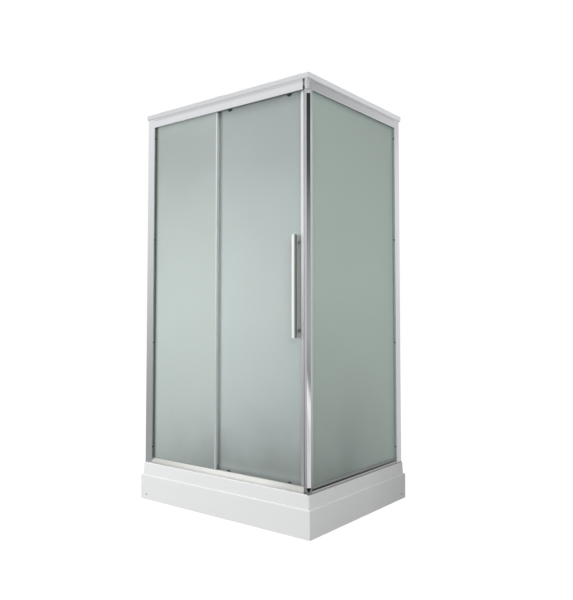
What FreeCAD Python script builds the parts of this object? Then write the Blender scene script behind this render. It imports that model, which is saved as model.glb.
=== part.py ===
import FreeCAD, Part
import math
import operator
import os
from collections import namedtuple
from types import SimpleNamespace

import Sketcher

# Driving dimensions of the shower cabin, in millimetres

SIZES = {
    # whole cabin
    "tray_length": 1150,
    "tray_width": 910,
    "overall_height": 2139,
    "frame_inset": 18,
    "wall_inset": 15,
    "running_gap": 0.3,
    "fit_gap": 0.2,
    "bore_gap": 0.05,
    "overrun": 5,
    # acrylic tray
    "rim_height": 197,
    "tier_step": 11,
    "skirt_flare": 4,
    "tray_wall": 6,
    "skirt_drop": 70,
    "basin_floor": 70,
    "floor_wall": 8,
    "rim_front": 95,
    "rim_back": 60,
    "basin_draft": 25,
    "basin_corner": 70,
    "tray_corner": 8,
    "tray_round": 5,
    # apron panels
    "apron_height": 133,
    "apron_wall": 4,
    "apron_foot": 25,
    "apron_round": 5,
    "apron_corner": 12,
    "apron_screw_inset": 45,
    "apron_screw_rise": 27,
    "screw_head": 4.5,
    "screw_head_height": 1.6,
    "screw_shank": 2,
    "screw_length": 12,
    # steel frame and feet under the tray
    "bar_size": 30,
    "bar_wall": 2,
    "bar_inset": 35,
    "bar_spread": 600,
    "cross_spread": 660,
    "foot_inset": 55,
    "pad_radius": 22,
    "pad_height": 6,
    "hub_radius": 11,
    "hub_height": 14,
    "rod_radius": 5,
    "rod_length": 48,
    "nut_radius": 9.8,
    "nut_height": 8,
    # waste
    "drain_shift": 180,
    "drain_hole": 45,
    "flange_radius": 57,
    "flange_height": 2,
    "neck_wall": 3,
    "neck_drop": 14,
    "trap_radius": 54,
    "trap_flange": 60,
    "trap_flange_height": 4,
    "trap_wall": 3,
    "trap_rise": 8,
    "outlet_radius": 20,
    "outlet_wall": 2.5,
    "outlet_reach": 150,
    "outlet_length": 60,
    "outlet_shoulder": 2,
    "outlet_rise": 34,
    "cover_radius": 52,
    "cover_edge": 2,
    "cover_dome": 5,
    "plug_radius": 38,
    "plug_drop": 10,
    # posts
    "post_width": 50,
    "post_depth": 40,
    "profile_wall": 2,
    "groove_depth": 14,
    "corner_post": 40,
    "post_screw_foot": 88,
    "post_screw_top": 111,
    "post_screw_head": 4,
    "post_screw_height": 2.5,
    "post_screw_shank": 1.8,
    "post_screw_length": 8,
    # rails and sills
    "rail_height": 50,
    "rail_wall": 2.5,
    "rail_round": 2,
    "rail_groove": 1.2,
    "rail_groove_drop": 3,
    "rail_groove_pitch": 4,
    "shelf_height": 16,
    "rib_start": 4,
    "track_start": 44,
    "track_back": 52,
    "track_rise": 19.5,
    "track_wall": 3,
    "lip_wall": 1.2,
    "lip_height": 2.5,
    "side_rail_depth": 25,
    "sill_height": 27,
    "sill_nose": 10.5,
    "sill_out": 1.5,
    "sill_ledge": 0.6,
    "sill_joint": 2,
    "side_sill_joint": 5,
    "sill_joint_depth": 2,
    "sill_slot": 14,
    "sill_track": 4,
    "sill_guard": 5,
    "sill_tail": 10,
    # near corner
    "column_front": 23,
    "column_side": 33,
    "column_inner": 34,
    "column_step": 27,
    "column_depth": 41,
    "column_slot": 12,
    "trim_front": 12,
    "trim_rise": 3,
    "trim_side": 17,
    "trim_radius": 40,
    "trim_setback": 20,
    "foot_front": 27,
    "foot_side": 20,
    "foot_flare": 3,
    "foot_round": 6,
    "rail_setback": 32,
    "connector_radius": 10.2,
    "connector_start": 2.5,
    "connector_end": 22,
    "connector_inset": 4,
    "connector_arm": 46,
    "arm_inset": 2,
    "arm_setback": 6,
    "arm_depth": 14,
    "side_rail_start": 25.5,
    # cornice and roof
    "cornice_height": 24,
    "cornice_overhang": 6,
    "cornice_wall": 2.5,
    "cornice_base": 40,
    "cornice_cap": 24,
    "cornice_lean": 3,
    "cornice_round": 4,
    "cornice_edge": 2,
    "roof_wall": 3,
    "roof_setback": 12,
    "roof_tongue_setback": 1,
    "roof_field_inset": 80,
    "roof_field_draft": 14,
    "roof_field_height": 12,
    "roof_ledge": 30,
    # wall panels
    "panel_depth": 15,
    "panel_wall": 5,
    "panel_rib": 12,
    # glazing
    "glass_thickness": 5,
    "front_recess": 14,
    "side_recess": 14,
    "gasket_wall": 1.5,
    "gasket_lip": 6,
    "glass_bite": 8,
    "doorway": 568,
    "edge_width": 10,
    "edge_depth": 12.5,
    "edge_web": 4,
    "seal_width": 1.5,
    "seal_inset": 3,
    "seal_clear": 24,
    # sliding door
    "door_recess": 32,
    "door_overlap": 12,
    "door_gap": 6,
    "door_rise": 8,
    "door_lift": 29,
    "door_edge_width": 24,
    "door_edge_depth": 13,
    "door_edge_lift": 3,
    "closer_start": 12,
    "closer_end": 27,
    "closer_reach": 14,
    "closer_gap": 3,
    "magnet_width": 7,
    "magnet_height": 4,
    "strike_height": 1.5,
    "travel_clear": 8,
    # handle
    "handle_length": 485,
    "handle_radius": 12.5,
    "handle_round": 3,
    "handle_middle": 1142,
    "handle_back": 39,
    "handle_reach": 35,
    "standoff_radius": 7,
    "standoff_inset": 36,
    "standoff_seat": 5,
    "handle_bolt": 3.5,
    "cap_radius": 10,
    "cap_height": 6,
    "cap_seat": 4,
    # rollers
    "roller_inset": 93,
    "roller_bolt_rise": 11,
    "lower_bolt_rise": 20,
    "bolt_radius": 4,
    "bolt_cap_radius": 16,
    "lower_cap_radius": 13,
    "bolt_cap_height": 3.5,
    "bolt_cap_bevel": 1.2,
    "bracket_width": 30,
    "bracket_drop": 2,
    "bracket_top": 45,
    "bracket_wall": 3,
    "bracket_corner": 6,
    "wheel_radius": 11,
    "wheel_start": 46,
    "wheel_width": 4,
    "wheel_bevel": 0.8,
    "axle_radius": 3,
    "axle_head": 4.5,
    "axle_head_height": 1,
    "lower_wheel_radius": 8,
    "housing_width": 28,
    "housing_rise": 8,
    "housing_height": 40,
    "housing_depth": 8,
    "housing_lip": 8,
    "slider_width": 16,
    "slider_wall": 3,
    "slider_rise": 7,
    "slider_height": 55,
    "tab_height": 8,
    "tab_reach": 12,
    "stop_length": 16,
    "stop_height": 16,
    "stop_depth": 5,
    # mixer and shower
    "mixer_reach": 60,
    "mixer_radius": 22,
    "mixer_length": 200,
    "mixer_height": 1084,
    "mixer_shift": 0,
    "mixer_bevel": 3,
    "inlet_spread": 150,
    "inlet_radius": 9.5,
    "thread_radius": 10.45,
    "thread_length": 19,
    "inlet_tail": 25,
    "collar_radius": 14,
    "rosette_radius": 32,
    "rosette_height": 12,
    "rosette_edge": 3,
    "spindle_radius": 8,
    "spindle_length": 25,
    "knob_radius": 24,
    "knob_length": 45,
    "knob_bevel": 4,
    "knob_tab": 8,
    "knob_tab_reach": 14,
    "outlet_nut_radius": 15,
    "outlet_nut_height": 32,
    "riser_radius": 11,
    "riser_wall": 1.5,
    "riser_top": 1994,
    "riser_bend": 80,
    "arm_reach": 340,
    "drop_bend": 40,
    "drop_length": 12,
    "neck_radius": 6.5,
    "neck_length": 16,
    "ball_radius": 12,
    "socket_radius": 17,
    "socket_mouth": 11,
    "head_radius": 100,
    "head_edge": 8,
    "head_drop": 34,
    "head_shoulder": 20,
    "bracket_height": 1804,
    "ring_wall": 6,
    "ring_height": 18,
    "bracket_arm": 12,
    "bracket_foot": 20,
    "bracket_foot_height": 5,
}

# Places that follow the size of what carries them
TONGUE_SHARES = ((0.09, 0.52), (0.61, 0.96))
FOOT_SHARES = (-1, 0, 1)
HALF_TURN = 180
QUARTER_TURN = 90
FULL_TURN = 360
NEAR = 1e-3
POST_SCREW_COUNT = 4
SILL_STEPS = 3
RAIL_GROOVES = 3
NUT_SIDES = 6
PANEL_FIELDS = 3


# Sizes that keep the formula by which they follow the sheet

class Size:
    """A length and the formula that ties it to the sheet."""

    def __init__(self, formula, number):
        self.formula = formula
        self.number = number

    def __add__(self, other):
        return joined(self, "+", other)

    def __radd__(self, other):
        return joined(other, "+", self)

    def __sub__(self, other):
        return joined(self, "-", other)

    def __rsub__(self, other):
        return joined(other, "-", self)

    def __mul__(self, other):
        return joined(self, "*", other)

    def __rmul__(self, other):
        return joined(other, "*", self)

    def __truediv__(self, other):
        return joined(self, "/", other)

    def __neg__(self):
        return joined(0, "-", self)


SIGNS = {"+": operator.add, "-": operator.sub, "*": operator.mul, "/": operator.truediv}


def as_size(item):
    return item if isinstance(item, Size) else Size(str(item), float(item))


def joined(first, sign, second):
    first, second = as_size(first), as_size(second)
    formula = f"({first.formula} {sign} {second.formula})"
    return Size(formula, SIGNS[sign](first.number, second.number))


def root(item):
    """The square root of a product of two lengths."""
    return Size(f"sqrt({item.formula})", math.sqrt(item.number))


doc = FreeCAD.newDocument("ShowerCabin")
sheet = doc.addObject("Spreadsheet::Sheet", "Sizes")
for row, (name, number) in enumerate(SIZES.items(), start=1):
    sheet.set(f"A{row}", name)
    sheet.set(f"B{row}", str(number))
    sheet.setAlias(f"B{row}", name)
doc.recompute()
size = SimpleNamespace(**{name: Size("Sizes." + name, float(sheet.get(name))) for name in SIZES})


# Sketches and features

UP = FreeCAD.Vector(0, 0, 1)
ORIGIN = (0, 0, 0)
PLANES = {"x": "YZ_Plane", "y": "XZ_Plane", "z": "XY_Plane"}
ALONG_X = FreeCAD.Rotation()
ALONG_Y = FreeCAD.Rotation(UP, QUARTER_TURN)
Round = namedtuple("Round", "across up radius")


def bind(target, name, amount):
    target.setExpression(name, as_size(amount).formula)


def facing(x, y, z):
    """The turn that points a piece's own upright axis along a direction."""
    return FreeCAD.Rotation(UP, FreeCAD.Vector(x, y, z))


def new_body(label, base, turn=ALONG_X):
    body = doc.addObject("PartDesign::Body", label)
    body.Label = label
    body.Placement = FreeCAD.Placement(FreeCAD.Vector(), turn)
    for axis, place in zip("xyz", base):
        bind(body, "Placement.Base." + axis, place)
    return body


def sketch_on(body, axis, start):
    """A sketch square to one of the body's axes, at a distance along it."""
    sketch = body.newObject("Sketcher::SketchObject", body.Name + "Sketch")
    support = next(item for item in body.Origin.OriginFeatures if item.Role == PLANES[axis])
    sketch.AttachmentSupport = (support, [""])
    sketch.MapMode = "FlatFace"
    bind(sketch, "AttachmentOffset.Base.z", -as_size(start) if axis == "y" else start)
    return sketch


def constrain(sketch, kind, places, amount):
    amount = as_size(amount)
    index = sketch.addConstraint(Sketcher.Constraint(kind, *places, amount.number))
    bind(sketch, f"Constraints[{index}]", amount)


def draw_circle(sketch, circle):
    across, up, radius = (as_size(item) for item in circle)
    centre = FreeCAD.Vector(across.number, up.number, 0)
    index = sketch.addGeometry(Part.Circle(centre, UP, radius.number), False)
    constrain(sketch, "DistanceX", (-1, 1, index, 3), across)
    constrain(sketch, "DistanceY", (-1, 1, index, 3), up)
    constrain(sketch, "Radius", (index,), radius)


def arc_between(start, end, radius, side):
    """The short arc from start to end that bulges to the right, or to the left for side -1."""
    chord = end - start
    half = chord.Length / 2
    rise = radius - math.sqrt(max(radius * radius - half * half, 0))
    right = FreeCAD.Vector(chord.y, -chord.x, 0).normalize()
    return Part.Arc(start, (start + end) / 2 + right * rise * side, end)


def draw_line(sketch, corners, closed=True):
    """Lines through corners; a corner with a radius and a side starts an arc to the next."""
    first = sketch.GeometryCount
    spots = [FreeCAD.Vector(as_size(c[0]).number, as_size(c[1]).number, 0) for c in corners]
    count = len(corners) if closed else len(corners) - 1
    ends = []
    for index in range(count):
        start, end = spots[index], spots[(index + 1) % len(spots)]
        arc = corners[index][2:]
        edge = arc_between(start, end, arc[0].number, arc[1]) if arc else Part.LineSegment(start, end)
        number = sketch.addGeometry(edge, False)
        forward = sketch.getPoint(number, 1).isEqual(start, NEAR)
        ends.append((1, 2) if forward else (2, 1))
    for index in range(count if closed else count - 1):
        after = (index + 1) % count
        places = (first + index, ends[index][1], first + after, ends[after][0])
        sketch.addConstraint(Sketcher.Constraint("Coincident", *places))
    for index, corner in enumerate(corners):
        last = index == count
        place = (first + count - 1, ends[-1][1]) if last else (first + index, ends[index][0])
        constrain(sketch, "DistanceX", (-1, 1, *place), corner[0])
        constrain(sketch, "DistanceY", (-1, 1, *place), corner[1])
        if corner[2:] and not last:
            constrain(sketch, "Radius", (first + index,), corner[2])


def draw(sketch, shapes):
    for shape in shapes:
        if isinstance(shape, Round):
            draw_circle(sketch, shape)
        else:
            draw_line(sketch, shape)


def grow(body, axis, start, length, shapes):
    """Add the shapes, extruded along an axis from a start."""
    sketch = sketch_on(body, axis, start)
    draw(sketch, shapes)
    pad = body.newObject("PartDesign::Pad", body.Name + "Pad")
    pad.Profile = sketch
    pad.Reversed = axis == "y"
    bind(pad, "Length", length)


def cut(body, axis, start, length, shapes):
    """Take the shapes away, extruded along an axis from a start."""
    sketch = sketch_on(body, axis, start)
    draw(sketch, shapes)
    pocket = body.newObject("PartDesign::Pocket", body.Name + "Pocket")
    pocket.Profile = sketch
    pocket.Reversed = axis != "y"
    bind(pocket, "Length", length)


def loft(body, kind, levels):
    """Join outlines at rising or falling heights, as added or taken away material."""
    sketches = []
    for height, corners in levels:
        sketch = sketch_on(body, "z", height)
        draw(sketch, [corners])
        sketches.append(sketch)
    feature = body.newObject("PartDesign::" + kind, body.Name + kind)
    feature.Profile = sketches[0]
    feature.Sections = sketches[1:]
    feature.Ruled = True


def spin(body, corners):
    """Turn an outline of radius and height about the body's own upright axis."""
    sketch = sketch_on(body, "y", 0)
    draw(sketch, [corners])
    feature = body.newObject("PartDesign::Revolution", body.Name + "Spin")
    feature.Profile = sketch
    feature.ReferenceAxis = (sketch, ["V_Axis"])
    feature.Angle = FULL_TURN


def soften(body, radius, chosen):
    """Round the edges that a test picks."""
    doc.recompute()
    tip = body.Tip
    names = [f"Edge{n}" for n, edge in enumerate(tip.Shape.Edges, start=1) if chosen(edge)]
    fillet = body.newObject("PartDesign::Fillet", body.Name + "Fillet")
    fillet.Base = (tip, names)
    bind(fillet, "Radius", radius)


def along(edge, x=None, y=None, z=None):
    """True for an edge whose ends both lie at the given coordinates."""
    wanted = [(i, as_size(v).number) for i, v in enumerate((x, y, z)) if v is not None]
    return all(abs(end.Point[i] - v) < NEAR for end in edge.Vertexes for i, v in wanted)


def extruded(label, axis, shapes, length, base, turn=ALONG_X):
    body = new_body(label, base, turn)
    grow(body, axis, 0, length, shapes)
    return body


def turned(label, corners, base, turn=ALONG_X):
    body = new_body(label, base, turn)
    spin(body, corners)
    return body


def group(label, pieces):
    """Several like pieces in one node."""
    compound = doc.addObject("Part::Compound", label)
    compound.Label = label
    compound.Links = pieces
    return compound


def rectangle(low_across, low_up, high_across, high_up):
    return [(low_across, low_up), (high_across, low_up), (high_across, high_up), (low_across, high_up)]


def rounded(low_across, low_up, high_across, high_up, radius):
    return [
        (low_across + radius, low_up),
        (high_across - radius, low_up, radius, 1),
        (high_across, low_up + radius),
        (high_across, high_up - radius, radius, 1),
        (high_across - radius, high_up),
        (low_across + radius, high_up, radius, 1),
        (low_across, high_up - radius),
        (low_across, low_up + radius, radius, 1),
    ]


def mitre_start(depth):
    return [(-size.overrun, -size.overrun), (depth, depth), (-size.overrun, depth)]


def mitre_end(length, depth):
    past = length + size.overrun
    return [(past, -size.overrun), (past, depth), (length - depth, depth)]


# Places shared by several pieces

left, right = -size.tray_length / 2, size.tray_length / 2
front, back = -size.tray_width / 2, size.tray_width / 2
frame_left, frame_right = left + size.wall_inset, right - size.frame_inset
frame_front, frame_back = front + size.frame_inset, back - size.wall_inset
rim = size.rim_height
sill_top = rim + size.sill_height
roof_line = size.overall_height - size.roof_wall
cornice_bottom = roof_line - size.cornice_height
rail_bottom = cornice_bottom - size.rail_height
post_length = cornice_bottom - rim

slot_front = size.front_recess - size.gasket_wall
slot_back = size.front_recess + size.glass_thickness + size.gasket_wall
side_slot_front = size.side_recess - size.gasket_wall
side_slot_back = size.side_recess + size.glass_thickness + size.gasket_wall
rail_depth = size.track_back + size.rail_wall
rail_start = frame_left + size.post_width
side_rail_end = frame_back - size.post_width
rail_end = frame_right - size.rail_setback
sill_end = frame_right - size.foot_front

fixed_edge = frame_right - size.column_front - size.doorway
door_left = fixed_edge - size.edge_width - size.door_overlap
door_right = frame_right - size.column_inner - size.door_gap
door_bottom = rim + size.door_rise
door_back = size.door_recess + size.glass_thickness
door_travel = door_left - rail_start - size.travel_clear
roller_places = {"left": door_left + size.roller_inset, "right": door_right - size.roller_inset}
wheel_axis = size.track_rise + size.track_wall + size.running_gap + size.wheel_radius
lower_axis = size.sill_track + size.running_gap + size.lower_wheel_radius
lower_bolt = rim + size.lower_bolt_rise
upper_bolt = rail_bottom + size.roller_bolt_rise
handle_place = door_right - size.handle_back
handle_low = size.handle_middle - size.handle_length / 2
standoff_heights = (
    handle_low + size.standoff_inset,
    handle_low + size.handle_length - size.standoff_inset,
)

skirt_left, skirt_right = left + size.tier_step, right - size.tier_step
skirt_front, skirt_back = front + size.tier_step, back - size.tier_step
floor_under = size.basin_floor - size.floor_wall
bar_bottom = floor_under - size.bar_size
wall_face = frame_left + size.panel_depth
mixer_place = wall_face + size.mixer_reach


# Tray and aprons

def basin(offset, radius):
    """The basin's outline, moved in from its mouth by an offset."""
    return rounded(
        skirt_left + size.rim_back + offset,
        skirt_front + size.rim_front + offset,
        skirt_right - size.rim_front - offset,
        skirt_back - size.rim_back - offset,
        radius,
    )


def skirt(flare, wall):
    """The skirt's outline, moved out by its flare and in by a wall."""
    out = flare - wall
    return rounded(
        skirt_left - out,
        skirt_front - out,
        skirt_right + out,
        skirt_back + out,
        size.tray_corner + out,
    )


def shower_tray():
    """A deep basin in a rim, with a skirt that flares down to the aprons."""
    body = new_body("shower_tray", ORIGIN)
    wall, flare, draft = size.tray_wall, size.skirt_flare, size.basin_draft
    lip = size.apron_height
    skirt_low = rim - size.skirt_drop
    loft(body, "AdditiveLoft", [(rim, skirt(0, as_size(0))), (lip, skirt(flare, 0))])
    grow(body, "z", skirt_low, lip - skirt_low, [skirt(flare, 0)])
    loft(body, "SubtractiveLoft", [(rim - wall, skirt(0, wall)), (lip, skirt(flare, wall))])
    cut(body, "z", skirt_low - size.overrun, lip - skirt_low + size.overrun, [skirt(flare, wall)])
    loft(body, "AdditiveLoft", [
        (rim - wall, basin(-wall, size.basin_corner + wall)),
        (floor_under, basin(draft - wall, size.basin_corner - draft + wall)),
    ])
    loft(body, "SubtractiveLoft", [
        (rim, basin(as_size(0), size.basin_corner)),
        (size.basin_floor, basin(draft, size.basin_corner - draft)),
    ])
    hole = Round(0, size.drain_shift, size.drain_hole)
    cut(body, "z", floor_under - size.overrun, size.floor_wall + 2 * size.overrun, [hole])
    soften(body, size.tray_round, is_rim_edge)
    return body


def is_rim_edge(edge):
    """An edge of the rim's outer loop, which touches the skirt's outline."""
    on_outline = any(
        abs(abs(end.X) - skirt_right.number) < NEAR or abs(abs(end.Y) - skirt_back.number) < NEAR
        for end in edge.Vertexes
    )
    return on_outline and along(edge, z=rim)


def apron_face(from_end, inset, reach, side):
    """A panel's outline seen from the front, drawn in by an inset, with its free end rounded."""
    high, corner = size.apron_height, size.apron_corner
    return [
        (from_end(inset), inset),
        (from_end(reach), inset),
        (from_end(reach), high - inset),
        (from_end(corner), high - inset, corner - inset, side),
        (from_end(inset), high - corner),
    ]


def apron(label, length, base, turn, mirrored, mitre, screw_place):
    """A moulded skirt panel with a foot, a closed free end and a lip that meets the tray."""
    body = new_body(label, base, turn)
    wall, high, deep = size.apron_wall, size.apron_height, size.apron_foot

    def from_end(distance):
        return length - distance if mirrored else distance

    side = -1 if mirrored else 1
    grow(body, "y", 0, deep, [apron_face(from_end, as_size(0), length, side)])
    cut(body, "y", wall, deep, [apron_face(from_end, wall, length + size.overrun, side)])
    under_skirt = rim - size.skirt_drop - size.fit_gap
    behind_lip = rectangle(
        size.tier_step - size.skirt_flare, under_skirt, deep + size.overrun, high + size.overrun,
    )
    cut(body, "x", 0 if mirrored else wall, length - wall, [behind_lip])
    free_end = from_end(as_size(0))

    def is_face_edge(edge):
        """The face's top, its rounded corner and its free end."""
        near_end = all(
            abs(end.X - free_end.number) < size.apron_corner.number + NEAR for end in edge.Vertexes
        )
        return along(edge, y=0) and (near_end or along(edge, z=high))

    soften(body, size.apron_round, is_face_edge)
    cut(body, "z", -size.overrun, high + 2 * size.overrun, [mitre])
    head = Round(screw_place, size.apron_screw_rise, size.screw_head + size.fit_gap)
    shank = Round(screw_place, size.apron_screw_rise, size.screw_shank + size.fit_gap)
    cut(body, "y", -size.overrun, size.overrun + size.screw_head_height, [head])
    cut(body, "y", -size.overrun, 2 * size.overrun + wall, [shank])
    return body


def apron_screws():
    head = size.screw_head
    section = [
        (0, 0),
        (head, 0),
        (head, size.screw_head_height),
        (size.screw_shank, size.screw_head_height),
        (size.screw_shank, size.screw_length),
        (0, size.screw_length),
    ]
    rise, inset = size.apron_screw_rise, size.apron_screw_inset
    return group("apron_screws", [
        turned("front_apron_screw", section, (left + inset, front, rise), facing(0, 1, 0)),
        turned("side_apron_screw", section, (right, back - inset, rise), facing(-1, 0, 0)),
    ])


# Steel frame, feet and waste under the tray

def tube(across, wall):
    half = across / 2
    inner = half - wall
    return [rectangle(-half, -half, half, half), rectangle(-inner, -inner, inner, inner)]


def foot_places():
    reach = right - size.foot_inset
    return [(share * reach, side * size.bar_spread / 2) for side in (-1, 1) for share in FOOT_SHARES]


def frame_bars():
    middle = bar_bottom + size.bar_size / 2
    bar_length = size.tray_length - 2 * size.bar_inset
    drilled = size.rod_radius + size.fit_gap
    long_bars = []
    for side in (-1, 1):
        place = (left + size.bar_inset, side * size.bar_spread / 2, middle)
        bar = extruded(f"long_bar_{side}", "x", tube(size.bar_size, size.bar_wall), bar_length, place)
        reach = right - size.foot_inset
        holes = [Round(share * reach + bar_length / 2, 0, drilled) for share in FOOT_SHARES]
        depth = size.overrun + 2 * size.bar_wall
        cut(bar, "z", -size.bar_size / 2 - size.overrun, depth, holes)
        long_bars.append(bar)
    cross_length = size.bar_spread - size.bar_size
    cross_bars = [
        extruded(
            f"cross_bar_{side}",
            "x",
            tube(size.bar_size, size.bar_wall),
            cross_length,
            (side * size.cross_spread / 2, -cross_length / 2, middle),
            ALONG_Y,
        )
        for side in (-1, 1)
    ]
    return [group("frame_long_bars", long_bars), group("frame_cross_bars", cross_bars)]


def feet():
    bore = size.rod_radius + size.fit_gap
    pad_section = [
        (0, 0),
        (size.pad_radius, 0),
        (size.pad_radius, size.pad_height),
        (size.hub_radius, size.hub_height),
        (bore, size.hub_height),
        (bore, size.pad_height),
        (0, size.pad_height),
    ]
    angles = [FULL_TURN * side / NUT_SIDES for side in range(NUT_SIDES)]
    nut_outline = [
        (size.nut_radius * math.cos(math.radians(angle)), size.nut_radius * math.sin(math.radians(angle)))
        for angle in angles
    ]
    nut_shapes = [nut_outline, Round(0, 0, bore)]
    rod_shapes = [Round(0, 0, size.rod_radius)]
    pads, rods, nuts = [], [], []
    for index, (x, y) in enumerate(foot_places()):
        nut_base = (x, y, bar_bottom - size.nut_height)
        pads.append(turned(f"pad_{index}", pad_section, (x, y, 0)))
        rods.append(extruded(f"rod_{index}", "z", rod_shapes, size.rod_length, (x, y, size.pad_height)))
        nuts.append(extruded(f"nut_{index}", "z", nut_shapes, size.nut_height, nut_base))
    return [group("foot_pads", pads), group("foot_rods", rods), group("foot_nuts", nuts)]


def drain_trap():
    """A cup under the floor with a side spigot for the waste hose."""
    body = new_body("drain_trap", (0, size.drain_shift, 0))
    mouth = size.drain_hole + size.fit_gap
    inner = size.trap_radius - size.trap_wall
    shoulder = floor_under - size.trap_flange_height
    spin(body, [
        (0, size.trap_rise),
        (size.trap_radius, size.trap_rise),
        (size.trap_radius, shoulder),
        (size.trap_flange, shoulder),
        (size.trap_flange, floor_under),
        (mouth, floor_under),
        (mouth, shoulder),
        (inner, shoulder),
        (inner, size.trap_rise + size.trap_wall),
        (0, size.trap_rise + size.trap_wall),
    ])
    spigot = Round(0, size.outlet_rise, size.outlet_radius)
    bore = Round(0, size.outlet_rise, size.outlet_radius - size.outlet_wall)
    thick = size.outlet_radius + size.outlet_shoulder
    root_depth = root(inner * inner - thick * thick)
    shoulder_reach = size.outlet_reach - size.outlet_length
    neck = Round(0, size.outlet_rise, thick)
    grow(body, "x", -shoulder_reach, shoulder_reach - root_depth, [neck])
    grow(body, "x", -size.outlet_reach, size.outlet_length, [spigot])
    cut(body, "x", -size.outlet_reach - size.overrun, size.outlet_reach, [bore])
    return body


def drain_flange():
    outer = size.drain_hole - size.fit_gap
    inner = outer - size.neck_wall
    section = [
        (inner, -size.neck_drop),
        (outer, -size.neck_drop),
        (outer, 0),
        (size.flange_radius, 0),
        (size.flange_radius, size.flange_height / 2),
        (size.flange_radius - size.flange_height, size.flange_height),
        (inner, size.flange_height),
    ]
    return turned("drain_flange", section, (0, size.drain_shift, size.basin_floor))


def drain_cover():
    edge = size.cover_edge
    dome = size.cover_dome
    bulge = (size.cover_radius * size.cover_radius + dome * dome) / (2 * dome)
    section = [
        (0, -size.plug_drop),
        (size.plug_radius, -size.plug_drop),
        (size.plug_radius, 0),
        (size.cover_radius, 0),
        (size.cover_radius, edge, bulge, 1),
        (0, edge + dome),
    ]
    return turned("drain_cover", section, (0, size.drain_shift, size.basin_floor + size.flange_height))


# Posts, rails and sills

def post_section(groove_front, groove_back):
    """A hollow post with a groove for the glass in the edge away from the wall."""
    wide, deep, wall = size.post_width, size.post_depth, size.profile_wall
    groove = wide - size.groove_depth
    outside = [
        (0, 0),
        (wide, 0),
        (wide, groove_front),
        (groove, groove_front),
        (groove, groove_back),
        (wide, groove_back),
        (wide, deep),
        (0, deep),
    ]
    chamber = [
        (wall, wall),
        (wide - wall, wall),
        (wide - wall, groove_front - wall),
        (groove - wall, groove_front - wall),
        (groove - wall, groove_back + wall),
        (wide - wall, groove_back + wall),
        (wide - wall, deep - wall),
        (wall, deep - wall),
    ]
    return outside, chamber


def post(label, base, turn, groove_front, groove_back, mirrored):
    outside, chamber = post_section(groove_front, groove_back)
    if mirrored:
        outside = [(size.post_width - x, y) for x, y in reversed(outside)]
        chamber = [(size.post_width - x, y) for x, y in reversed(chamber)]
    body = extruded(label, "z", [outside, chamber], post_length, base, turn)
    pilot = size.post_screw_shank + size.fit_gap
    holes = [Round(groove_front / 2, height - rim, pilot) for height in post_screw_heights()]
    face = 0 if mirrored else size.post_width - size.post_screw_length - size.overrun
    cut(body, "x", face, size.post_screw_length + size.overrun, holes)
    return body


def post_screw_heights():
    """Even steps between the lowest and the highest screw of a post."""
    pitch = (post_length - size.post_screw_foot - size.post_screw_top) / (POST_SCREW_COUNT - 1)
    return [rim + size.post_screw_foot + step * pitch for step in range(POST_SCREW_COUNT)]


def post_screws():
    head, shank = size.post_screw_head, size.post_screw_shank
    section = [
        (0, -size.post_screw_length),
        (shank, -size.post_screw_length),
        (shank, 0),
        (head, 0),
        (head, size.post_screw_height / 2),
        (head / 2, size.post_screw_height),
        (0, size.post_screw_height),
    ]
    screws = []
    for height in post_screw_heights():
        front_base = (rail_start, frame_front + slot_front / 2, height)
        side_base = (frame_right - side_slot_front / 2, side_rail_end, height)
        screws.append(turned("front_post_screw", section, front_base, facing(1, 0, 0)))
        screws.append(turned("side_post_screw", section, side_base, facing(0, -1, 0)))
    return group("post_screws", screws)


def rail_face(high):
    """The outer face of a rail, from fine grooves under its top down to a rounded lower edge."""
    corners = []
    for step in range(RAIL_GROOVES):
        upper = high - size.rail_groove_drop - step * size.rail_groove_pitch
        lower = upper - size.rail_groove
        corners += [(0, upper), (size.rail_groove, upper), (size.rail_groove, lower), (0, lower)]
    return corners + [(0, size.rail_round, size.rail_round, 1), (size.rail_round, 0)]


def front_top_rail():
    """A rail with a slot for the fixed glass and, behind it, the track that carries the door."""
    wall, high, shelf = size.rail_wall, size.rail_height, size.shelf_height
    track_top = size.track_rise + size.track_wall
    lip_inner = size.track_start + size.lip_wall
    section = [
        (wall, 0),
        (wall, shelf),
        (slot_front - wall, shelf),
        (slot_front - wall, size.rib_start),
        (slot_front, size.rib_start),
        (slot_front, shelf),
        (slot_back, shelf),
        (slot_back, size.rib_start),
        (slot_back + wall, size.rib_start),
        (slot_back + wall, shelf + wall),
        (wall, shelf + wall),
        (wall, high - wall),
        (size.track_back, high - wall),
        (size.track_back, track_top),
        (lip_inner, track_top),
        (lip_inner, track_top + size.lip_height),
        (size.track_start, track_top + size.lip_height),
        (size.track_start, size.track_rise),
        (rail_depth, size.track_rise),
        (rail_depth, high),
        (0, high),
    ]
    section += rail_face(high)
    base = (rail_start, frame_front, rail_bottom)
    return extruded("front_top_rail", "x", [section], rail_end - rail_start, base)


def side_top_rail():
    wall, high, shelf, deep = size.rail_wall, size.rail_height, size.shelf_height, size.side_rail_depth
    section = [
        (wall, 0),
        (wall, shelf),
        (side_slot_front - wall, shelf),
        (side_slot_front - wall, size.rib_start),
        (side_slot_front, size.rib_start),
        (side_slot_front, shelf),
        (side_slot_back, shelf),
        (side_slot_back, size.rib_start),
        (side_slot_back + wall, size.rib_start),
        (side_slot_back + wall, shelf),
        (deep, shelf),
        (deep, high),
        (0, high),
    ]
    section += rail_face(high)
    chamber = rectangle(wall, shelf + wall, deep - wall, high - wall)
    start = frame_front + size.side_rail_start
    base = (frame_right, start, rail_bottom)
    return extruded("side_top_rail", "x", [section, chamber], side_rail_end - start, base, ALONG_Y)


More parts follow.
